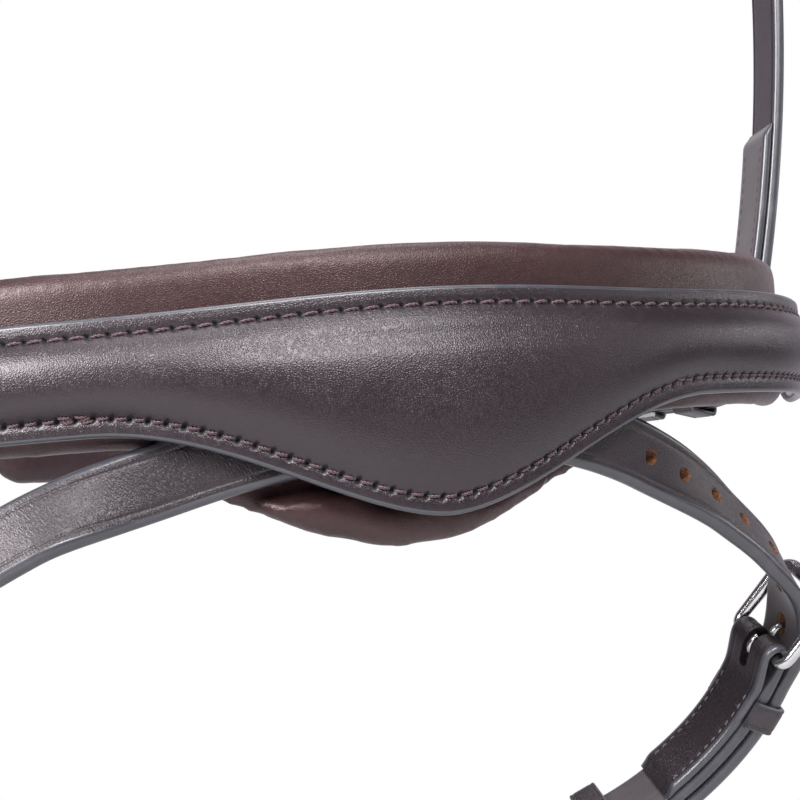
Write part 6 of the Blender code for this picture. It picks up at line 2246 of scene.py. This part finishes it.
@dataclass
class FlashStrap:
    """Flash strap, the loop that holds it behind the front, and its buckle."""

    bench: Bench
    finishes: Finishes
    lines: Lines
    layers: Layers
    pattern: FrontPattern
    sizes: BuckleCut = BuckleCut()
    width: float = 0.0160
    bar_at: float = 0.1290
    bar_inside: float = 0.0025
    billet_runout: float = 0.0450
    back_runout: float = 0.0700
    turnback: float = 0.0440
    tail: float = 0.0720
    frame_length: float = 0.0180
    keeper_places: tuple[float, float] = (0.0148, 0.0600)
    pitch: float = 0.0112
    holes: tuple[int, int] = (6, 2)
    loop_width: float = 0.0220
    loop_foot: float = 0.0030
    loop_clearance: float = 0.0008
    stitch_pitch: float = 0.0026
    stitch_inset: float = 0.0024

    @property
    def fold_s(self) -> float:
        """Distance of the fold, one turn before the bar."""
        return self.bar_at - self.lines.flash.length

    def offset(self, s: float) -> float:
        """Strap's offset along its whole length, from the fold round the bar to the free point."""
        chape = self.bar_inside + self.layers.flash / 2.0
        over = chape + self.layers.flash + self.layers.gap
        table = ((self.fold_s, chape), (self.fold_s + self.turnback, chape),
                 (self.fold_s + self.turnback + self.back_runout, 0.0), (self.bar_at - self.billet_runout, 0.0),
                 (self.bar_at, over + self.sizes.billet_rise), (self.bar_at + self.sizes.billet_settle, over))
        return eased(max(s, self.fold_s), table)

    def strap(self) -> None:
        """One strap: folded round the bar, round the chin, through the loop and the buckle, to its point."""
        flash = self.lines.flash
        strap = Strap(self.bench, self.layers, StrapCut(self.width, self.layers.flash, edge_round=0.0016,
                                                        crease_inset=0.0030))
        tip = self.bar_at + self.tail
        fold = strap.fold(self.turnback)
        body = strap.straight(fold[-1][0], tip - self.fold_s, 0.0, self.layers.flash)[1:]
        stations = [(self.fold_s + x, o, thick) for x, o, thick in fold + body]
        mesh = strap.sweep(stations, "flash_strap")
        cutters = strap.punch(self.bar_at, 1, self.pitch, *self.holes) + [strap.tongue_slot(self.fold_s, 1)]
        mesh = Bench.cut(mesh, cutters)
        mesh = self.bench.bend(mesh, flash, self.offset, Strap.pointed(tip, 1))
        self.bench.piece("flash_strap_leather", mesh, self.finishes.flash_faces, "straps", Slot.STRAP,
                         ["flash_strap"])

    def loop(self) -> None:
        """Leather loop behind the drop, sewn to the backing above and below the strap."""
        layers = self.layers
        inner = self.width / 2.0 + self.loop_clearance
        near = layers.pad_o
        far = near - layers.flash - self.loop_clearance
        wall = layers.loop
        middle = self.lines.flash_level(0.0)
        foot = inner + wall + self.loop_foot
        bend = 0.0008
        knots = [(foot, near - wall / 2.0), (inner + wall / 2.0 + bend, near - wall / 2.0),
                 (inner + wall / 2.0, near - wall / 2.0 - bend), (inner + wall / 2.0, far - wall / 2.0 + bend),
                 (inner + wall / 2.0 - bend, far - wall / 2.0)]
        knots += [(-v, o) for v, o in reversed(knots)]
        path = [Vector((0.0, v, o)) for v, o in knots]
        dense = []
        for a, b in zip(path, path[1:]):
            steps = max(round((b - a).length / 0.0006), 1)
            dense += [a.lerp(b, step / steps) for step in range(steps)]
        dense.append(path[-1])
        cut = StrapCut(self.loop_width, wall, edge_round=0.0004, crease_inset=0.0012, crease_depth=0.0001,
                       face_rows=16, edge_rows=6, flesh_rows=8)
        outline = cut.outline()
        rings, flats = [], []
        for index, point in enumerate(dense):
            ahead = (dense[min(index + 1, len(dense) - 1)] - dense[max(index - 1, 0)]).normalized()
            out = Vector((0.0, -ahead.z, ahead.y))
            ring = []
            for s, n, _ in outline:
                spot = point + out * n * wall
                ring.append(self.lines.ring.place(s, middle + spot.y, spot.z))
                flats.append(Vector((s, index * 0.0006, n)))
            rings.append(ring)
        mesh = Bench.loft(rings, "flash_loop", faces=lambda index: outline[index][2])
        Bench.note_cut_place(mesh, flats)
        self.bench.piece("flash_loop_leather", mesh, self.finishes.front_faces, "straps", Slot.FRONT, ["flash_loop"])

    def threads(self) -> None:
        """Two rows on both faces of the chape, and the rows that hold the loop's feet."""
        flash, layers = self.lines.flash, self.layers
        needle = Needle(radius=0.00030, rise=0.00006, slant=0.00006, trim=0.00055, sink=0.0003)
        chape = self.bar_inside + layers.flash / 2.0
        seams = []
        for side in (-1.0, 1.0):
            v = side * (self.width / 2.0 - self.stitch_inset)
            for o, flip in ((chape + layers.flash / 2.0, 1.0), (chape - layers.flash / 2.0 - layers.turnback, -1.0)):
                seams.append(Seam(lambda s, w, o=o, flip=flip: flash.place(s, w * flip, o),
                                  lambda s, v=v, flip=flip: (s, v * flip),
                                  self.fold_s + 0.0105, self.fold_s + self.turnback - 0.004, self.stitch_pitch))
        mesh = needle.sew(seams, "flash_thread", seed=31)
        self.bench.piece("flash_thread", mesh, [self.finishes.strap_thread], "straps")
        middle = self.lines.flash_level(0.0)
        foot_v = self.width / 2.0 + self.loop_clearance + layers.loop + self.loop_foot / 2.0
        rows = [Seam(lambda s, w: self.lines.ring.place(s, -w, layers.pad_o - layers.loop),
                     lambda s, v=side * foot_v: (s, -(middle + v)),
                     -self.loop_width / 2.0 + 0.002, self.loop_width / 2.0 - 0.002, 0.0030) for side in (-1.0, 1.0)]
        mesh = needle.sew(rows, "flash_loop_thread", seed=32)
        self.bench.piece("flash_loop_thread", mesh, [self.finishes.seam_thread], "straps")

    def make(self) -> None:
        """Build the strap, its loop, its thread and the buckle."""
        self.strap()
        self.loop()
        self.threads()
        Buckle("flash", self.bench, self.finishes, self.layers, self.lines.flash, self.bar_at, 1, self.bar_inside,
               self.offset, self.width, self.layers.flash, self.frame_length, self.keeper_places).make()


@dataclass
class Headpiece:
    """Near hanger, the strap over the poll and its buckle."""

    bench: Bench
    finishes: Finishes
    lines: Lines
    layers: Layers
    sizes: BuckleCut = BuckleCut()
    width: float = 0.0160
    doubled: float = 0.0770
    bar_at: float = 0.2150
    turnback: float = 0.0420
    tail: float = 0.0660
    runout: float = 0.0300
    frame_length: float = 0.0185
    keeper_places: tuple[float, float] = (0.0135, 0.0380)
    pitch: float = 0.0200
    holes: tuple[int, int] = (4, 1)
    skive: float = 0.0040
    stitch_pitch: float = 0.0030
    stitch_inset: float = 0.0026

    def billet_o(self, s: float) -> float:
        """Strap's offset: outside the hanger up to the bar, then down to the hanger's own level."""
        over = self.layers.strap + self.layers.gap
        table = ((self.bar_at - self.sizes.billet_settle, over), (self.bar_at, over + self.sizes.billet_rise),
                 (self.bar_at + self.runout, 0.0))
        return eased(max(s, table[0][0]), table)

    def doubled_end(self, strap: Strap, foot: float, direction: int) -> list[tuple[float, float, float]]:
        """Stations of a second layer that lies inside the strap's sewn end.

        Args:
            strap: The strap that is doubled.
            foot: Distance of its end on the noseband.
            direction: 1 where the doubled length runs to larger distances.

        Returns:
            Distance, offset and thickness of each station.
        """
        stations = []
        for x, _, _ in strap.straight(0.0, self.doubled, 0.0, self.layers.turnback):
            left = smooth(self.doubled - x, 0.0, self.skive)
            layer = self.layers.turnback_end + (self.layers.turnback - self.layers.turnback_end) * left
            stations.append((foot + direction * x, -self.layers.strap / 2.0 - 0.0001 - layer / 2.0, layer - 0.0001))
        return stations

    def layer(self, name: str, stations: Sequence[tuple[float, float, float]], cutters: Sequence[bpy.types.Mesh],
              offset: Height, width: Height, strap: Strap, replaced: Sequence[str],
              faces: Sequence[bpy.types.Material]) -> None:
        """Build one layer of the headpiece.

        Args:
            name: The piece's name.
            stations: Its flat side view.
            cutters: Its holes.
            offset: Its offset by distance.
            width: Its width's share by distance.
            strap: How it is cut.
            replaced: Parts that it stands for.
            faces: Its finishes, in the order of Face.
        """
        mesh = Bench.cut(strap.sweep(stations, name), cutters)
        mesh = self.bench.bend(mesh, self.lines.slip, offset, width)
        self.bench.piece(name, mesh, faces, "straps", Slot.STRAP, replaced)

    def make(self) -> None:
        """Build the hanger, the strap over the poll, their thread and the buckle."""
        slip, layers = self.lines.slip, self.layers
        # The strap over the poll gets the lighter headpiece leather, a painted highlight
        hanger, over_poll = self.finishes.strap_faces, self.finishes.lit_headpiece_faces
        strap = Strap(self.bench, layers, StrapCut(self.width))
        fold = strap.fold(self.turnback)
        body = strap.straight(fold[-1][0], self.bar_at, 0.0, layers.strap)[1:]
        stations = [(self.bar_at - x, o, thick) for x, o, thick in fold + body]
        self.layer("near_hanger_leather", stations, [strap.tongue_slot(self.bar_at, -1)], lambda s: 0.0, Strap.full,
                   strap, ["near_hanger"], hanger)
        self.layer("near_hanger_doubling", self.doubled_end(strap, 0.0, 1), [], lambda s: 0.0, Strap.full, strap, [],
                   hanger)
        tip = self.bar_at - self.tail
        stations = strap.straight(tip, slip.length, 0.0, layers.strap)
        self.layer("sliphead_leather", stations, strap.punch(self.bar_at, -1, self.pitch, *self.holes),
                   self.billet_o, Strap.pointed(tip, -1), strap, ["sliphead_strap"], over_poll)
        self.layer("sliphead_doubling", self.doubled_end(strap, slip.length, -1), [], lambda s: 0.0, Strap.full,
                   strap, [], over_poll)
        self.threads()
        Buckle("sliphead", self.bench, self.finishes, layers, slip, self.bar_at, -1, -layers.strap / 2.0,
               self.billet_o, self.width, layers.strap, self.frame_length,
               self.keeper_places).make()

    def threads(self) -> None:
        """Stitches of both doubled ends and of the near fold, on both faces."""
        slip, layers = self.lines.slip, self.layers
        needle = Needle(radius=0.00030, rise=0.00006, slant=0.00008, trim=0.00040, sink=0.0003)
        outer, inner = layers.strap / 2.0, -layers.strap / 2.0 - layers.turnback
        spans = ((0.024, self.doubled - 0.006), (slip.length - self.doubled + 0.006, slip.length - 0.024),
                 (self.bar_at - self.turnback + 0.005, self.bar_at - 0.0105))
        seams = []
        for start, end in spans:
            for side in (-1.0, 1.0):
                v = side * (self.width / 2.0 - self.stitch_inset)
                for o, flip in ((outer, 1.0), (inner, -1.0)):
                    seams.append(Seam(lambda s, w, o=o, flip=flip: slip.place(s, w * flip, o),
                                      lambda s, v=v, flip=flip: (s, v * flip), start, end, self.stitch_pitch))
        mesh = needle.sew(seams, "headpiece_thread", seed=41)
        self.bench.piece("headpiece_thread", mesh, [self.finishes.seam_thread], "straps")


@dataclass
class Studio:
    """Plain pale floor, soft light and the camera at the photograph's angle."""

    floor_drop: float = 0.105
    floor_radius: float = 0.92
    floor_fade: float = 0.40
    camera_place: tuple[float, float, float] = (-0.1473, -0.4342, -0.5630)
    heading: float = 0.3646
    rise: float = 0.19
    roll: float = 0.1414
    focal: float = 1864.3
    sensor: float = 36.0
    picture: float = 800.0
    backdrop: tuple[float, float, float] = (0.33, 0.94, 0.12)
    backdrop_reach: tuple[float, float] = (0.45, 0.92)
    room_light: float = 0.08
    room_tint: Colour = (0.96, 0.89, 1.0, 1.0)

    def camera(self) -> None:
        """Camera, from the photograph's heading, rise, roll and focal length in pixels."""
        look = Vector((math.sin(self.heading) * math.cos(self.rise), math.cos(self.heading) * math.cos(self.rise),
                       math.sin(self.rise)))
        right = Vector((math.cos(self.heading), -math.sin(self.heading), 0.0))
        up = right.cross(look).normalized()
        turned_right = right * math.cos(self.roll) - up * math.sin(self.roll)
        turned_up = right * math.sin(self.roll) + up * math.cos(self.roll)
        data = bpy.data.cameras.new("studio_camera")
        data.sensor_width = self.sensor
        data.lens = self.focal * self.sensor / self.picture
        data.clip_start = 0.01
        obj = bpy.data.objects.new("studio_camera", data)
        axes = Matrix((turned_right, turned_up, -look)).transposed().to_4x4()
        axes.translation = Vector(self.camera_place)
        obj.matrix_world = axes
        bpy.context.scene.collection.objects.link(obj)
        bpy.context.scene.camera = obj

    def floor(self) -> None:
        """Pale round floor below the noseband, which fades out at its rim."""
        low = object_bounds()[0]
        bm = bmesh.new()
        bmesh.ops.create_circle(bm, cap_ends=True, segments=96, radius=self.floor_radius)
        mesh = bpy.data.meshes.new("floor")
        bm.to_mesh(mesh)
        bm.free()
        mesh.materials.append(StudioPaper(rim=self.floor_radius, fade=self.floor_fade).material())
        obj = bpy.data.objects.new("floor", mesh)
        obj.location = (0.0, 0.0, low.z - self.floor_drop)
        bpy.context.scene.collection.objects.link(obj)
        obj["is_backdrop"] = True

    @staticmethod
    def lamp(name: str, place: tuple[float, float, float], size: tuple[float, float], watts: float,
             aim: tuple[float, float, float]) -> None:
        """Soft box.

        Args:
            name: Its name.
            place: Where it stands.
            size: Width and height of its face.
            watts: Its power.
            aim: What it faces.
        """
        data = bpy.data.lights.new(name, "AREA")
        data.shape = "RECTANGLE"
        data.size, data.size_y = size
        data.energy = watts
        obj = bpy.data.objects.new(name, data)
        obj.location = place
        obj.rotation_mode = "QUATERNION"
        obj.rotation_quaternion = (Vector(aim) - Vector(place)).to_track_quat("-Z", "Y")
        bpy.context.scene.collection.objects.link(obj)

    def light(self) -> None:
        """White backdrop, a dim room that brightens only behind the noseband, and soft boxes."""
        world = bpy.data.worlds.new("studio")
        bpy.context.scene.world = world
        graph = Graph(world)
        direction = graph.node("ShaderNodeTexCoord").outputs["Generated"]
        facing = Value(graph, graph.node("ShaderNodeVectorMath", {"operation": "DOT_PRODUCT"},
                                         {0: direction, 1: self.backdrop}).outputs["Value"])
        seen = Value(graph, graph.node("ShaderNodeLightPath").outputs["Is Camera Ray"])
        room = self.room_light + (1.0 - self.room_light) * facing.ramp(*self.backdrop_reach)
        background = graph.tree.nodes["Background"]
        graph.feed(background.inputs["Strength"], seen + (1.0 - seen) * room)
        graph.feed(background.inputs["Color"], graph.mix(seen, self.room_tint, (1.0, 1.0, 1.0, 1.0)))
        middle = (0.0, 0.0, -0.48)
        self.lamp("key", (-0.75, -0.46, -0.04), (0.50, 0.40), 21.0, middle)
        self.lamp("front", (0.05, -0.90, 0.10), (0.60, 0.26), 15.0, middle)
        self.lamp("top", (0.10, -0.12, 0.72), (1.0, 0.6), 12.0, middle)
        self.lamp("fill", (0.95, -0.60, -0.25), (0.35, 0.6), 1.0, middle)
        self.lamp("floor_glow", (0.55, -0.08, -0.40), (0.20, 0.20), 0.6, (0.45, -0.06, -0.70))

    def make(self) -> None:
        """Set the studio up."""
        scene = bpy.context.scene
        scene.view_settings.view_transform = "Standard"
        self.floor()
        self.light()
        self.camera()


def main() -> None:
    """Build the noseband's pieces in order, then the studio."""
    logging.basicConfig(level=logging.INFO, format="%(message)s")
    finishes = Finishes()
    layers = Layers()
    pattern = FrontPattern()
    lines = Lines(layers)
    bench = Bench(lines)
    FrontPiece(bench, finishes, lines, layers, pattern).make()
    NoseLining(bench, finishes, lines, layers, pattern).make()
    ChinPad(bench, finishes, lines, layers, pattern).make()
    ChinClosure(bench, finishes, lines, layers).make()
    FlashStrap(bench, finishes, lines, layers, pattern).make()
    Headpiece(bench, finishes, lines, layers).make()
    Studio().make()


if __name__ == "__main__":
    main()
